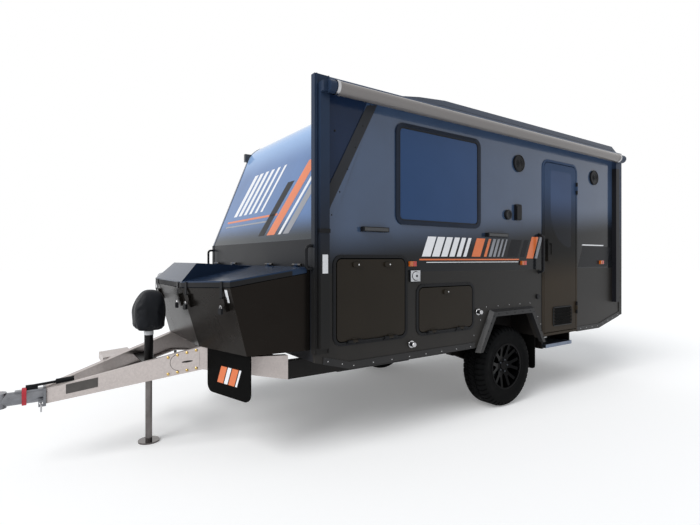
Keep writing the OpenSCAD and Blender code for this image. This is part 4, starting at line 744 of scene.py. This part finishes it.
hood.data.vertices.foreach_set("co", (before + move).ravel())
shape = points_of(hood.data)
rise = (shape[:, 2] - hood_low[2]) / (2 * hood_half[2])
turn = np.arctan2(shape[:, 1] - hood_mid[1], shape[:, 0] - hood_mid[0])
gather = 0.0032 * bell(rise, 0.10, 0.09) * np.sin(17 * turn + 2.0 * np.sin(3 * turn))
crumple = 0.0035 * bell(rise, 0.50, 0.25) * np.sin(4 * turn + 9 * rise + np.sin(2 * turn))
cord_line = -0.008 * bell(rise, 0.07, 0.02)
outward = np.stack([np.cos(turn), np.sin(turn), 0 * turn], axis=1)
shape += outward * (gather + crumple + cord_line)[:, None]
hood.data.vertices.foreach_set("co", shape.ravel())
hood.data.polygons.foreach_set("use_smooth", np.ones(len(hood.data.polygons), dtype=bool))
hood.data.update()
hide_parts("jack_cover")
print("hood", len(hood.data.polygons), "faces")

# %% [markdown]
# The sides carry cut vinyl. The design here is a plain one: rows of slanted bars in white, orange and
# grey that grow narrower towards the door, over two pinstripes. Each bar is a thin plate on the wall.

# %% Side bars
SLANT = 0.42
VINYL = 0.0006
BAR_Z, TALL_Z = (1.440, 1.605), (1.425, 1.640)


def on_wall(b, z, out=0.0):
    """Points on the left wall, moved off it by out: b is the distance behind the nose, z the height."""
    return np.stack(np.broadcast_arrays(NOSE_X - np.asarray(b, float), LEFT_Y + out, z), axis=-1)


def leaning(rows, place):
    """Four corners of each slanted bar. A row gives the bar's start, its width, its lower and upper ends
    and how far its top leans on; place turns both distances into points."""
    start, wide, foot, top, lean = np.asarray(rows, float).T
    corners = ((start, foot), (start + wide, foot), (start + wide + lean, top), (start + lean, top))
    return np.stack([place(along, up) for along, up in corners], axis=1)


def wall_bars(rows):
    """Bars on the left wall: the upper edge lies further back by SLANT times the height."""
    rows = np.asarray(rows, float)
    lean = SLANT * (rows[:, 3] - rows[:, 2])
    return leaning(np.column_stack([rows, lean]), lambda b, z: on_wall(b, z, 0.0002))


def series(count, columns):
    """Rows of bars: columns turns the numbers 0, 1, 2 and on into each column, or gives it as one value."""
    return np.stack(np.broadcast_arrays(*columns(np.arange(count))), axis=1).tolist()


side_sets = {
    "bars_white": ("stripe_white", [
        *series(6, lambda k: (1.00 + 0.118 * k - 0.004 * k ** 2, 0.096 - 0.011 * k, *BAR_Z)),
        (1.05, 1.22, 1.389, 1.395), (3.42, 0.46, 1.570, 1.582)]),
    "bars_orange": ("stripe_orange", [
        (1.60, 0.115, *BAR_Z), (1.765, 0.035, *BAR_Z), (2.40, 0.110, *TALL_Z), (0.97, 1.31, 1.409, 1.421)]),
    "bars_grey": ("stripe_grey", [
        *series(4, lambda k: (1.83 + 0.062 * k, 0.040 - 0.006 * k, *BAR_Z)), (2.535, 0.045, *TALL_Z)]),
    "bars_black": ("stripe_black", [
        (2.10, 0.16, *BAR_Z), (2.30, 0.07, *BAR_Z), (3.34, 0.62, 1.330, 1.560)])}
for name, (vinyl, rows) in side_sets.items():
    put(name, *plates(wall_bars(rows), Y, VINYL), vinyl)
    print(name, len(rows), "bars")

# %% [markdown]
# The sloped front wall carries longer bars of the same family. A bar's place is given along the ridge
# and up the slope, so that it lies flat on the wall below the bend.

# %% Slope bars
slope = nodes["slope_wall"].data
face = max(slope.polygons, key=lambda p: p.area * max(p.normal.x, 0.0))
corners = points_of(slope)[list(face.vertices)]
RIDGE = (X + Z) * corners[corners[:, 2].argmin()]
RUN = (X + Z) * corners[corners[:, 2].argmax()] - RIDGE
OUT_SLOPE = np.array([RUN[2], 0.0, -RUN[0]]) / np.linalg.norm(RUN)
print("slope runs", RUN.round(3))


def on_slope(q, s):
    """Points on the sloped wall: q is the offset from the middle plane, s the share of the slope."""
    return RIDGE + s[:, None] * RUN + OUT_SLOPE * 0.0003 + np.stack([0 * q, MID_Y + q, 0 * q], axis=-1)


slope_sets = {
    "slope_white": ("stripe_white", [
        *series(6, lambda k: (-0.78 + 0.135 * k, 0.085 - 0.008 * k, 0.30, 0.74, 0.16)),
        (0.46, 0.045, 0.06, 0.86, 0.36)]),
    "slope_orange": ("stripe_orange", [(0.24, 0.15, 0.06, 0.70, 0.29), (-0.90, 1.20, 0.235, 0.255, 0.0)]),
    "slope_grey": ("stripe_grey", [(0.545, 0.10, 0.06, 0.92, 0.39), (-0.90, 1.05, 0.185, 0.20, 0.0)]),
    "slope_black": ("stripe_black", [(0.06, 0.12, 0.06, 0.54, 0.21)])}
for name, (vinyl, rows) in slope_sets.items():
    put(name, *plates(leaning(rows, on_slope), OUT_SLOPE, VINYL), vinyl)
print("slope sets", list(slope_sets))

# %% [markdown]
# A rubber bead runs along both edges of the sloped wall and over its bend, and a closing strip fills
# the side of the roof below its raised crown. The bead is a round profile carried along the wall's
# edge. The strip is a row of four-cornered plates just inside the side walls.

# %% Beads and closing strips
BEND_R, BEAD_R = 0.28, 0.0035
up_slope = RUN / np.linalg.norm(RUN)
turn = np.linspace(0.0, 0.85 * np.arccos(OUT_SLOPE[2]), 13)[:, None]
straight = RIDGE + np.linspace(0.0, 0.98, 12)[:, None] * RUN
bent = RIDGE + RUN - BEND_R * OUT_SLOPE + BEND_R * (np.cos(turn) * OUT_SLOPE + np.sin(turn) * up_slope)
beads = [pipe(np.concatenate([straight, bent]) + y * Y, BEAD_R, 8)
         for y in (corners[:, 1].min() + 0.002, corners[:, 1].max() - 0.002)]
put("slope_beads", *joined(beads), "frame_black")
CROWN = np.array([(0.40, 2.700), (0.244, 2.715), (-0.049, 2.745), (-2.900, 2.745), (-3.000, 2.710)])
CROWN_LOW, STRIP_IN, STRIP_T = 2.690, 0.040, 0.003
for side, sign in SIDES:
    y = MID_Y + sign * (LEFT_Y - MID_Y - STRIP_IN)
    spans = [[[x0, y, CROWN_LOW], [x1, y, CROWN_LOW], [x1, y, z1], [x0, y, z0]]
             for (x0, z0), (x1, z1) in zip(CROWN[:-1], CROWN[1:])]
    put("crown_strip_" + side, *plates(spans, sign * Y, STRIP_T), "roof_sheet")
print("slope beads", len(beads), "and crown strips")

# %% [markdown]
# The rubber flaps behind the drawbar carry four short bars each. They lie on the flap's own plane,
# which runs from an inner to an outer corner, and the other flap is the mirror image.

# %% Flap bars
FLAP_INNER, FLAP_CORNER = np.array([0.55, 0.480]), np.array([0.415, 0.970])
FLAP_RUN = (FLAP_CORNER - FLAP_INNER) / np.linalg.norm(FLAP_CORNER - FLAP_INNER)
FLAP_OUT = np.array([FLAP_RUN[1], -FLAP_RUN[0], 0.0])
FLAP_MID = (FLAP_CORNER + FLAP_INNER) / 2 + FLAP_OUT[:2] * 0.0053
FLAP_BAR = (0.545, 0.665, 0.05)


def on_flap(q, z):
    """Points on the left flap: q runs along it from its middle, z is the height."""
    p = FLAP_MID + q[:, None] * FLAP_RUN
    return np.stack([NOSE_X + p[:, 0], MID_Y + p[:, 1], z], axis=-1)


for colour, places in (("orange", ((-0.125, 0.07), (0.005, 0.07))),
                       ("white", ((-0.045, 0.04), (0.085, 0.02)))):
    bars = leaning([(*row, *FLAP_BAR) for row in places], on_flap)
    put("flap_" + colour, *both_sides(*plates(bars, FLAP_OUT, VINYL)), "stripe_" + colour)
print("flap bars on both sides")

# %% [markdown]
# Panels and trims are held by rows of dome screws. One small turned form is copied along each row;
# the rows follow the roof's rail, the tail post, the flares, the bands and the strip on the wing.

# %% Dome screws
DOME = turned([(1.0, 0.0), (0.94, 0.34), (0.62, 0.62), (0.24, 0.74)], 8)
PROUD = high("skirt_bands")[1] - LEFT_Y
BAND_Z = low("skirt_bands")[2]
RAIL_Z = high("side_wall_left")[2] - 0.028
WHEEL_X = middle("tyre_left")[0]
FLARE = high("arch_flares")[1] - LEFT_Y
ARCH_Z = high("arch_flares")[2] + 0.03
SIDE = LEFT_Y - MID_Y
SCREW_R, RIVET_R, WING_SCREW_R, FRAME_RIVET_R = 0.0055, 0.005, 0.008, 0.0042


def domes(name, places, out, radius, look):
    """Copies of the dome at each place, its axis along out; across and along complete the frame."""
    across = np.cross([0.31, 0.17, 0.93], out)
    across /= np.linalg.norm(across)
    put(name, *copies(DOME[0] * radius, DOME[1], places, across, np.cross(out, across), out), look)


# Rows of one side: both ends as X and height, the number of places and the distance from the wall
DARK_ROWS = ((NOSE_X - 0.75, RAIL_Z, NOSE_X - 4.20, RAIL_Z, 15, PROUD),
             (TAIL_X + 0.03, 0.95, TAIL_X + 0.03, 2.60, 9, PROUD),
             (WHEEL_X - 0.462, 0.64, WHEEL_X - 0.305, 0.90, 5, FLARE),
             (WHEEL_X + 0.462, 0.64, WHEEL_X + 0.305, 0.90, 5, FLARE),
             (WHEEL_X - 0.24, 0.914, WHEEL_X + 0.24, 0.914, 5, FLARE))
BRIGHT_ROWS = ((NOSE_X - 0.32, BAND_Z + 0.02, NOSE_X - 1.58, BAND_Z + 0.02, 8, PROUD),
               (NOSE_X - 3.38, BAND_Z + 0.027, NOSE_X - 3.74, BAND_Z + 0.027, 4, PROUD),
               (NOSE_X - 3.86, BAND_Z + 0.048, NOSE_X - 4.20, BAND_Z + 0.125, 4, PROUD),
               (NOSE_X - 0.10, BAND_Z + 0.075, NOSE_X - 0.22, BAND_Z + 0.043, 2, PROUD),
               (WHEEL_X - 0.30, ARCH_Z, WHEEL_X + 0.36, ARCH_Z, 5, 0),
               (WHEEL_X + 0.44, 0.87, WHEEL_X + 0.53, 0.74, 2, 0),
               (WHEEL_X - 0.43, 0.84, WHEEL_X - 0.48, 0.76, 2, 0))
for side, sign in SIDES:
    for name, table, radius, look in (("dome_screws_", DARK_ROWS, SCREW_R, "fitting_black"),
                                      ("bright_rivets_", BRIGHT_ROWS, RIVET_R, "steel_bright")):
        rows = [line((x0, MID_Y + sign * (SIDE + off), z0), (x1, MID_Y + sign * (SIDE + off), z1), count)
                for x0, z0, x1, z1, count, off in table]
        domes(name + side, np.vstack(rows), sign * Y, radius, look)
strip = line((NOSE_X - 0.13, LEFT_Y + PROUD, 1.73), (NOSE_X - 0.47, LEFT_Y + PROUD, 2.57), 6)
domes("strip_screws", strip, Y, SCREW_R, "fitting_black")
domes("wing_screws", on_wall([0.16, 0.135], [2.33, 1.98]), Y, WING_SCREW_R, "fitting_black")
print("screw rows on both sides")

# %% [markdown]
# The hatch frames are riveted all round. The rivets keep off the round corners, as on the real frames.

# %% Hatch frame rivets
TALL_HATCH = (0.143, 0.795, 0.70, 0.655)
LOW_HATCH = (0.936, 0.795, 0.695, 0.42)


def frame_rows(b0, z0, w, h, inset=0.010, pitch=0.2, off=0.09):
    """Places round a rectangle as distance behind the nose and height, evenly spaced on each edge and
    kept off the rounded corners."""
    n, m = max(2, int(w / pitch)), max(2, int(h / pitch))
    level = line((b0 + off, z0 + inset), (b0 + w - off, z0 + inset), n)
    upright = line((b0 + inset, z0 + off), (b0 + inset, z0 + h - off), m)
    return np.vstack([level, level + [0, h - 2 * inset], upright, upright + [w - 2 * inset, 0]])


tall_rows, low_rows = (on_wall(*frame_rows(*hatch).T, PROUD) for hatch in (TALL_HATCH, LOW_HATCH))
domes("frame_rivets_left", np.vstack([tall_rows, low_rows]), Y, FRAME_RIVET_R, "frame_black")
domes("frame_rivets_right", mirrored(tall_rows), -Y, FRAME_RIVET_R, "frame_black")
print("rivets", len(tall_rows), "on a tall frame and", len(low_rows), "on the low one")

# %% [markdown]
# Lamps get lenses: a smoky strip on each lamp bar, a red rear half on each side marker and two panes
# on each tail lamp. White reflectors sit on the post, the rear arm and the toolbox, and the rear arm
# has a dark facing. A thin plate over the CAD form is enough at this size.

# %% Lamp lenses and reflectors
def panel(b0, b1, z0, z1, out):
    """Corners of a rectangle on the left side, at a distance out from the wall."""
    return on_wall([b1, b0, b0, b1], [z0, z0, z1, z1], out)


def left_plates(name, panels, thickness, look, body=TRAILER):
    """Thin plates on the left side, one for each panel."""
    put(name, *plates([panel(*p) for p in panels], Y, thickness), look, body)


def crosswise(x, y0, y1, z0, z1):
    """Corners of a rectangle across the trailer, at a place along it."""
    return [[x, y0, z0], [x, y1, z0], [x, y1, z1], [x, y0, z1]]


def tail_lens(name, z0, z1, look):
    """A pane on the face of each tail lamp, between two heights."""
    panes = [crosswise(TAIL_X - TAIL_PROUD, MID_Y + y0, MID_Y + y1, z0, z1)
             for y0, y1 in ((TAIL_IN, TAIL_OUT), (-TAIL_OUT, -TAIL_IN))]
    put(name, *plates(panes, -X, LENS_T), look)


TAIL_IN, TAIL_OUT, TAIL_PROUD, LENS_T = 0.899, 0.977, 0.022, 0.003
BAR_OUT, ARM_OUT, MARKER_W, MARKER_OUT = 0.040, 0.048, 0.032, 0.022
left_plates("bar_lenses", [(b0, b1, 1.628, 1.652, BAR_OUT) for b0, b1 in ((0.395, 0.617), (1.792, 2.059))],
            LENS_T, "lens_smoke")
red = [panel(b, b + MARKER_W, 1.363, 1.399, MARKER_OUT) for b in (0.8895, 2.340, 3.820)]
put("marker_red", *both_sides(*plates(red, Y, 0.002)), "lens_red")
left_plates("arm_reflectors", [(0.030, 0.074, 1.32, 1.45, ARM_OUT), (4.100, 4.140, 1.32, 1.46, ARM_OUT)],
            0.0015, "reflector")
FACET_OUT = np.array([0.933, 0.250, -0.258])
FACET_ACROSS = np.array([0.0073, -0.0270, 0.0])
top, foot = np.array([1.826, 0.917, 1.220]), np.array([1.805, 0.911, 1.135])
strip = np.array([[foot, top, top + FACET_ACROSS, foot + FACET_ACROSS]]) + 0.0004 * FACET_OUT
put("box_reflectors", *both_sides(*plates(strip, FACET_OUT, 0.001)), "reflector")
tail_lens("tail_red", 0.956, 1.09, "lens_red")
CLEAR_W, CLEAR_H, CLEAR_T = 0.077, 0.088, 0.037
x1, _, z1 = high("lamps") + 0.001
x0, z0 = x1 - CLEAR_W, z1 - CLEAR_H
clear = [[x, RIGHT_Y - 0.001, z] for x, z in ((x0, z0), (x1, z0), (x1, z1), (x0, z1))]
put("clearance_lens", *plates([clear], Y, CLEAR_T), "lens_smoke")
strip = on_wall([0.438, 0.536, 0.090, 0.090], [2.559, 2.579, 1.730, 1.900], PROUD + 0.0004)
put("wing_strip", *plates([strip], Y, VINYL), "strip_grey")
left_plates("post_band", [(0.012, 0.092, 1.600, 1.628, 0.012)], 0.041, "frame_black")
ARM_B, ARM_Z, FACING = (4.084, 4.156), (0.912, 2.49), 0.0012
arm_y = ARM_OUT + 0.0004
arm_left = plates([panel(*ARM_B, *ARM_Z, arm_y)], Y, FACING)
front = crosswise(NOSE_X - ARM_B[0] + 0.0002, LEFT_Y + 0.001, LEFT_Y + arm_y, *ARM_Z)
arm_front = plates([front], X, FACING)
put("rear_arm_face", *joined([arm_left, arm_front]), "stripe_black")
tail_lens("tail_clear", 1.098, 1.15, "lens_white")
print("lenses and reflectors set")

# %% [markdown]
# Speakers, taps, the filler and the sockets are small turned forms on the wall. A profile of radius
# and height, turned round an axis that points out of the wall, gives each of them.

# %% Wall details
def wall_turned(name, profile, b, z, out, look, segments=32, body=TRAILER):
    """A turned form whose axis points out of the left wall, its foot at a distance out from the wall."""
    put(name, *copies(*turned(profile, segments), on_wall([b], z, out), X, -Z, Y), look, body)


SPEAKER_R, SPEAKER_Z = 0.070, 2.345
ring = np.linspace(SPEAKER_R, 0.0, 44)
cone = np.stack([ring, 0.004 + 0.008 * np.sin(np.clip(1 - ring / SPEAKER_R, 0, 1) * np.pi / 2)
                 + 0.0009 * np.cos(ring * 2 * np.pi / 0.0062)], axis=1)
cone = np.vstack([[(0.0702, 0.0)], cone[:-1]])
RIM = [(0.083, 0.0), (0.083, 0.004), (0.079, 0.0075), (0.0735, 0.008), (0.0715, 0.004)]
for b, name in ((2.2717, "front"), (3.661, "rear")):
    wall_turned("grille_" + name, cone, b, SPEAKER_Z, 0.007, "frame_black", 48)
    wall_turned("grille_rim_" + name, RIM, b, SPEAKER_Z, 0.0105, "fitting_black", 48)
FILLER = (0.9164, 1.284)
left_plates("filler_plate", [(0.867, 0.966, 1.240, 1.328, 0.016)], 0.003, "filler_white")
wall_turned("filler_groove", [(0.038, 0), (0.038, 0.0012), (0.034, 0.0016)], *FILLER, 0.019, "frame_black")
wall_turned("filler_cap", [(0.033, 0), (0.033, 0.008), (0.029, 0.012), (0.012, 0.013)], *FILLER, 0.0195,
            "filler_white")
wall_turned("filler_key", [(0.009, 0), (0.009, 0.003), (0.006, 0.004)], *FILLER, 0.032, "frame_black", 16)
TAP_COLLAR = [(0.030, 0), (0.029, 0.002), (0.022, 0.0035)]
TAP_CAP = [(0.020, 0), (0.020, 0.010), (0.017, 0.014), (0.008, 0.015)]
for name, b, z in (("front", 0.883, 0.740), ("rear", 1.684, 0.945)):
    wall_turned("tap_collar_" + name, TAP_COLLAR, b, z, 0.006, "steel_bright", 24)
    wall_turned("tap_cap_" + name, TAP_CAP, b, z, 0.030, "steel_bright", 24)
wall_turned("outlet_ring", [(0.047, 0), (0.046, 0.004), (0.036, 0.006), (0.030, 0.002)], 2.1003, 1.839, 0.018,
            "frame_black", 36)
left_plates("socket_lid", [(2.2138, 2.2838, 1.800, 1.925, 0.026)], 0.006, "frame_black")
KEY = [(0.0065, 0), (0.0065, 0.0016), (0.004, 0.002)]
for body, b, z in (("hatch_front_left", 0.358, 1.378), ("hatch_front_left", 0.652, 1.378),
                   ("hatch_low_left", 1.2886, 1.143)):
    wall_turned("key_%d" % round(b * 1000), KEY, b, z, 0.020, "steel_bright", 14, body)
print("wall details set")

# %% [markdown]
# Rubber seals run round the window and the door's vent. A round profile is carried along a rounded
# rectangle on the wall. The vent has slats before a dark back, and a rod runs along each hatch's hinge.

# %% Seals, slats and rods
def rounded(b0, z0, w, h, r, out, count=10):
    """A closed path round a rectangle with round corners: each corner is a quarter of a circle."""
    a = np.linspace(0, np.pi / 2, count)
    turn = np.concatenate([a, a + np.pi / 2, a + np.pi, a + 1.5 * np.pi])
    b = np.repeat([b0 + w - r, b0 + r, b0 + r, b0 + w - r], count)
    z = np.repeat([z0 + h - r, z0 + h - r, z0 + r, z0 + r], count)
    return on_wall(b + r * np.cos(turn), z + r * np.sin(turn), out)


SEAL_R, ROD_R, ROD_OUT, ROD_UP = 0.007, 0.0045, 0.012, 0.028
pane_low, pane_high = low("window_panes"), high("window_panes")
pane_size = pane_high - pane_low
path = rounded(NOSE_X - pane_high[0], pane_low[2], pane_size[0], pane_size[2], 0.04, PROUD)
seals = [pipe(p, SEAL_R, 8, closed=True) for p in (path, mirrored(path)[::-1])]
put("window_seals", *joined(seals), "frame_black")
VENT_W, VENT_H, SLATS = 0.34, 0.19, 11
vent_b = NOSE_X - high("door_frame")[0] + 0.187
vent_z = low("entry_door")[2] + 0.062
path = rounded(vent_b, vent_z, VENT_W, VENT_H, 0.022, PROUD + 0.003)
put("vent_frame", *pipe(path, SEAL_R, 8, closed=True), "fitting_black", "door")
slat_h = VENT_H / SLATS
slats = [(vent_b + 0.004, vent_b + VENT_W - 0.004, vent_z + k * slat_h, vent_z + (k + 1) * slat_h,
          PROUD + 0.0062) for k in range(0, SLATS, 2)]
back = (vent_b + slat_h, vent_b + VENT_W - slat_h, vent_z + 0.002, vent_z - 0.002 + VENT_H, PROUD + 0.0022)
left_plates("vent_slats", slats + [back], 0.0006, "flap_rubber", "door")
rod_z = TALL_HATCH[1] + ROD_UP
rods = []
for sign, (b, _, w, _) in ((1, TALL_HATCH), (1, LOW_HATCH), (-1, TALL_HATCH)):
    rod_y = MID_Y + sign * (SIDE + PROUD + ROD_OUT)
    ends = [(NOSE_X - b - share * w, rod_y, rod_z) for share in (0.28, 0.72)]
    rods.append(pipe(line(*ends, 6), ROD_R, 8))
put("hinge_rods", *joined(rods), "frame_black")
print("seals, slats and rods set")

# %% [markdown]
# The drawbar carries its own hardware: a blank plate, a doubler with a slot, rows of plated bolts, two
# shackles on the chain lugs and a strap round the coupling. Places on the rail are given by the reach
# ahead of the body and the height. A dark band on the toolbox lid's lip ahead of the body is painted shade.

# %% Drawbar hardware
rail = points_of(nodes["drawbar_left"].data)
back_y = rail[rail[:, 0] < NOSE_X + 0.001, 1].max()
tip_y = rail[rail[:, 0] > rail[:, 0].max() - 0.001, 1].max()
RAIL_L = rail[:, 0].max() - NOSE_X
RAIL_OUT = np.array([back_y - tip_y, RAIL_L, 0.0]) / np.hypot(back_y - tip_y, RAIL_L)
OFF_FACE = 0.0004


def on_rail(places, out=0.0):
    """Points on the left rail's outer face, moved off it by out. A place gives the reach ahead of the
    body and the height; the face is straight between its rear end and its tip."""
    f, z = np.asarray(places, float).T
    face = np.stack([NOSE_X + f, back_y + (tip_y - back_y) * f / RAIL_L, z], axis=1)
    return face + out * RAIL_OUT


def flat_piece(places, out, thickness):
    """An outline of any number of places on the rail, lifted off it: two faces and a wall round it."""
    outline = on_rail(places, out)
    n = len(outline)
    k = np.arange(n)
    k2 = (k + 1) % n
    walls = np.stack([k, k2, k2 + n, k + n], axis=1)
    return np.vstack([outline, outline + RAIL_OUT * thickness]), [k[None, ::-1], (k + n)[None], walls]


plate = [(1.416, 0.489), (1.229, 0.526), (1.229, 0.592), (1.416, 0.554)]
put("blank_plate", *flat_piece(plate, 0.0005, 0.002), "plate_dark")
turn = np.linspace(np.pi / 2, 1.5 * np.pi, 14)
end = np.stack([0.735 - 0.052 * np.cos(turn), 0.670 + 0.058 * np.sin(turn)], axis=1)
doubler = np.vstack([end, [(0.600, 0.635), (0.600, 0.752)]])
put("doubler_edges", *both_sides(*pipe(on_rail(end, 0.003), 0.0016, 6)), "box_black")
put("doublers", *both_sides(*flat_piece(doubler, OFF_FACE, 0.003)), "galvanised")
turn = circle(24)
reach = 0.036 * np.cos(turn)
slot = np.stack([0.678 + reach, 0.674 + 0.007 * np.sin(turn) - 0.10 * reach], axis=1)
put("doubler_slots", *both_sides(*flat_piece(slot, 0.0034, 0.0006)), "box_black")
BOLT_R = 0.011
rows = np.vstack([line((0.62, 0.622), (0.80, 0.588), 4), line((0.62, 0.752), (0.80, 0.708), 4)])
across = np.cross(Z, RAIL_OUT)
bolts = copies(DOME[0] * BOLT_R, DOME[1], on_rail(rows, OFF_FACE), across, np.cross(RAIL_OUT, across),
               RAIL_OUT)
put("rail_bolts", *both_sides(*bolts), "brass")
LID_TOP, LID_FALL, LID_BACK, LID_L = 1.365, 0.108, 0.018, 0.702


def lid_z(f):
    """Height of the lid's top edge at a reach f ahead of the body: it falls evenly to the front."""
    return LID_TOP - LID_FALL * (f - LID_BACK) / LID_L


LID_RING = np.array([(0.030, 1.0265), (0.570, 1.000), (0.720, 0.415), (0.720, -0.415), (0.570, -1.000),
                     (0.030, -1.0265)])
# The lip is the lid's own metal. This dark band over it is painted shade, where the lip faces away from the
# sky, and the 9 mm of lid left above it shows as a painted highlight line.
LIP_LOW, LIP_HIGH = 0.041, 0.009
lip_shade_plates = []
for (f0, y0), (f1, y1) in zip(LID_RING[:-1], LID_RING[1:]):
    out = np.array([y0 - y1, f1 - f0, 0.0]) / np.hypot(y0 - y1, f1 - f0)
    face = [[NOSE_X + f, MID_Y + y, lid_z(f) - drop]
            for f, y, drop in ((f0, y0, LIP_LOW), (f1, y1, LIP_LOW), (f1, y1, LIP_HIGH), (f0, y0, LIP_HIGH))]
    lip_shade_plates.append(plates([face], out, 0.0012))
put("lid_edge", *joined(lip_shade_plates), "box_black", "lid")
print("rail hardware on both sides")

# %% [markdown]
# Two round shackles hang in the chain lugs, and a red strap lies round the coupling. The shackles are
# closed pipes. The strap is a flat section carried round a superellipse.

# %% Coupling hardware
LUG_Y, RING_N, RING_W, RING_H, RING_R = 0.078, 40, 0.024, 0.030, 0.0055
ring_x, _, ring_z = low("coupling") + [0.0282, 0, -0.004]
turn = circle(RING_N)
rings = []
for sign in (1, -1):
    y = MID_Y + sign * LUG_Y
    path = np.full(RING_N, ring_x), y + RING_W * np.cos(turn), ring_z + RING_H * np.sin(turn)
    rings.append(pipe(np.stack(path, axis=1), RING_R, closed=True))
put("chain_shackles", *joined(rings), "steel_bright")
STRAP_X, STRAP_W, STRAP_T = 2.890, 0.026, 0.003


def strap_ring(grow):
    """A closed loop round the coupling: a superellipse of power 3, taller over the bracket's seat."""
    ca, sa = rounded_turn(turn, 3)
    tall = np.where(np.sin(turn) > 0, 0.060, 0.049) + grow
    return MID_Y + (0.049 + grow) * ca, middle("coupling")[2] + tall * sa


section = [(0.0, 0.0), (0.0, STRAP_W), (STRAP_T, STRAP_W), (STRAP_T, 0.0)]
loop = np.stack([np.stack([np.full(RING_N, STRAP_X + x), *strap_ring(grow)], axis=1) for grow, x in section])
put("coupling_strap", loop, quads(4, RING_N, wrap_rows=True, wrap_columns=True), "strap_red", crease=40.0)
print("coupling hardware set")

# %% [markdown]
# The toolbox is locked by a small padlock on each latch: a block with a bent bar above it. A hook on
# the lid's lip reaches down over each latch, and it lifts with the lid.

# %% Padlocks and hooks
LATCHES = np.array([(0.7230, 0.331, 0.0), (0.7042, 0.4833, 14.36), (0.5948, 0.911, 14.36)])
LOCK_Z, LOCK_W, LOCK_H, LOCK_T = 1.080, 0.017, 0.019, 0.016
HOOK_Z, HOOK_W, HOOK_T = 1.165, 0.012, 0.005
BAR_UP, BAR_W, BAR_H, BAR_R = 0.017, 0.011, 0.020, 0.003
BOX = ((-1, -1), (1, -1), (1, 1), (-1, 1))
bend = np.linspace(0, np.pi, 14)[:, None]
locks, bars, hooks = [], [], []
for f, y, degrees in LATCHES:
    for sign in (1, -1):
        a = np.radians(degrees) * sign
        out = np.array([np.cos(a), np.sin(a), 0.0])
        level = np.array([-np.sin(a), np.cos(a), 0.0])
        at = np.array([NOSE_X + f, MID_Y + sign * y, LOCK_Z])
        block = [at + LOCK_W * s * level + LOCK_H * t * Z for s, t in BOX]
        locks.append(plates([block], out, LOCK_T))
        heights = {-1: HOOK_Z, 1: lid_z(f) - 0.004}
        hook = [[*(at + HOOK_W * s * level + 0.0008 * out)[:2], heights[t]] for s, t in BOX]
        hooks.append(plates([hook], out, HOOK_T))
        foot = at + LOCK_T / 2 * out + BAR_UP * Z
        path = foot + BAR_W * np.cos(bend) * level + BAR_H * np.sin(bend) * Z
        bars.append(pipe(path, BAR_R, 8))
put("padlocks", *joined(locks), "fitting_black")
put("padlock_bars", *joined(bars), "steel_bright")
put("lid_hooks", *joined(hooks), "fitting_black", "lid")
print("padlocks", len(locks))

# %% [markdown]
# The jack's tube has a pale ring, the roller's ends have bright caps and each wheel has nuts and a
# valve. All of them are turned forms, and those on the wheels ride with the wheels.

# %% Rings, nuts and valves
jack_x, jack_y, _ = middle("jack_leg")
points, faces = turned([(0.0345, 0.0), (0.0352, 0.003), (0.0352, 0.027), (0.0345, 0.030)], 32)
put("jack_ring", points + [jack_x, jack_y, hood_low[2] - 0.034], faces, "reflector")
CAP_L = 0.024
_, roll_y, roll_z = middle("awning_roll")
points, faces = turned([(0.0503, 0.0), (0.0509, 0.003), (0.0509, 0.021), (0.0503, CAP_L)], 40)
ends = np.array([[x, roll_y, roll_z] for x in (high("awning_roll")[0] - CAP_L, low("awning_roll")[0])])
put("roller_caps", *copies(points, faces, ends, Y, Z, X), "steel_bright")
NUT = turned([(1.0, 0.0), (1.0, 1.1), (0.75, 1.5), (0.3, 1.6)], 6)
VALVE = turned([(0.0045, 0.0), (0.0045, 0.026), (0.0035, 0.030)], 12)
NUT_R, NUT_RING, NUT_IN, VALVE_AT = 0.0085, 0.057, 0.044, 0.200
spin = np.radians(36 + 72 * np.arange(5))
nut_y = high("rim_left")[1] - NUT_IN
for side, sign in SIDES:
    hub = middle("rim_" + side)
    y = nut_y if sign > 0 else 2 * MID_Y - nut_y
    axes = X, -sign * Z, sign * Y
    nuts = hub[0] + NUT_RING * np.cos(spin), np.full(len(spin), y), hub[2] + NUT_RING * np.sin(spin)
    nuts = np.stack(nuts, axis=1)
    put("wheel_nuts_" + side, *copies(NUT[0] * NUT_R, NUT[1], nuts, *axes), "cast_black", "wheel_" + side)
    stem = np.array([[hub[0] + VALVE_AT, y + sign * 0.012, hub[2]]])
    put("valve_" + side, *copies(*VALVE, stem, *axes), "fitting_black", "wheel_" + side)
print("rings, nuts and valves set")
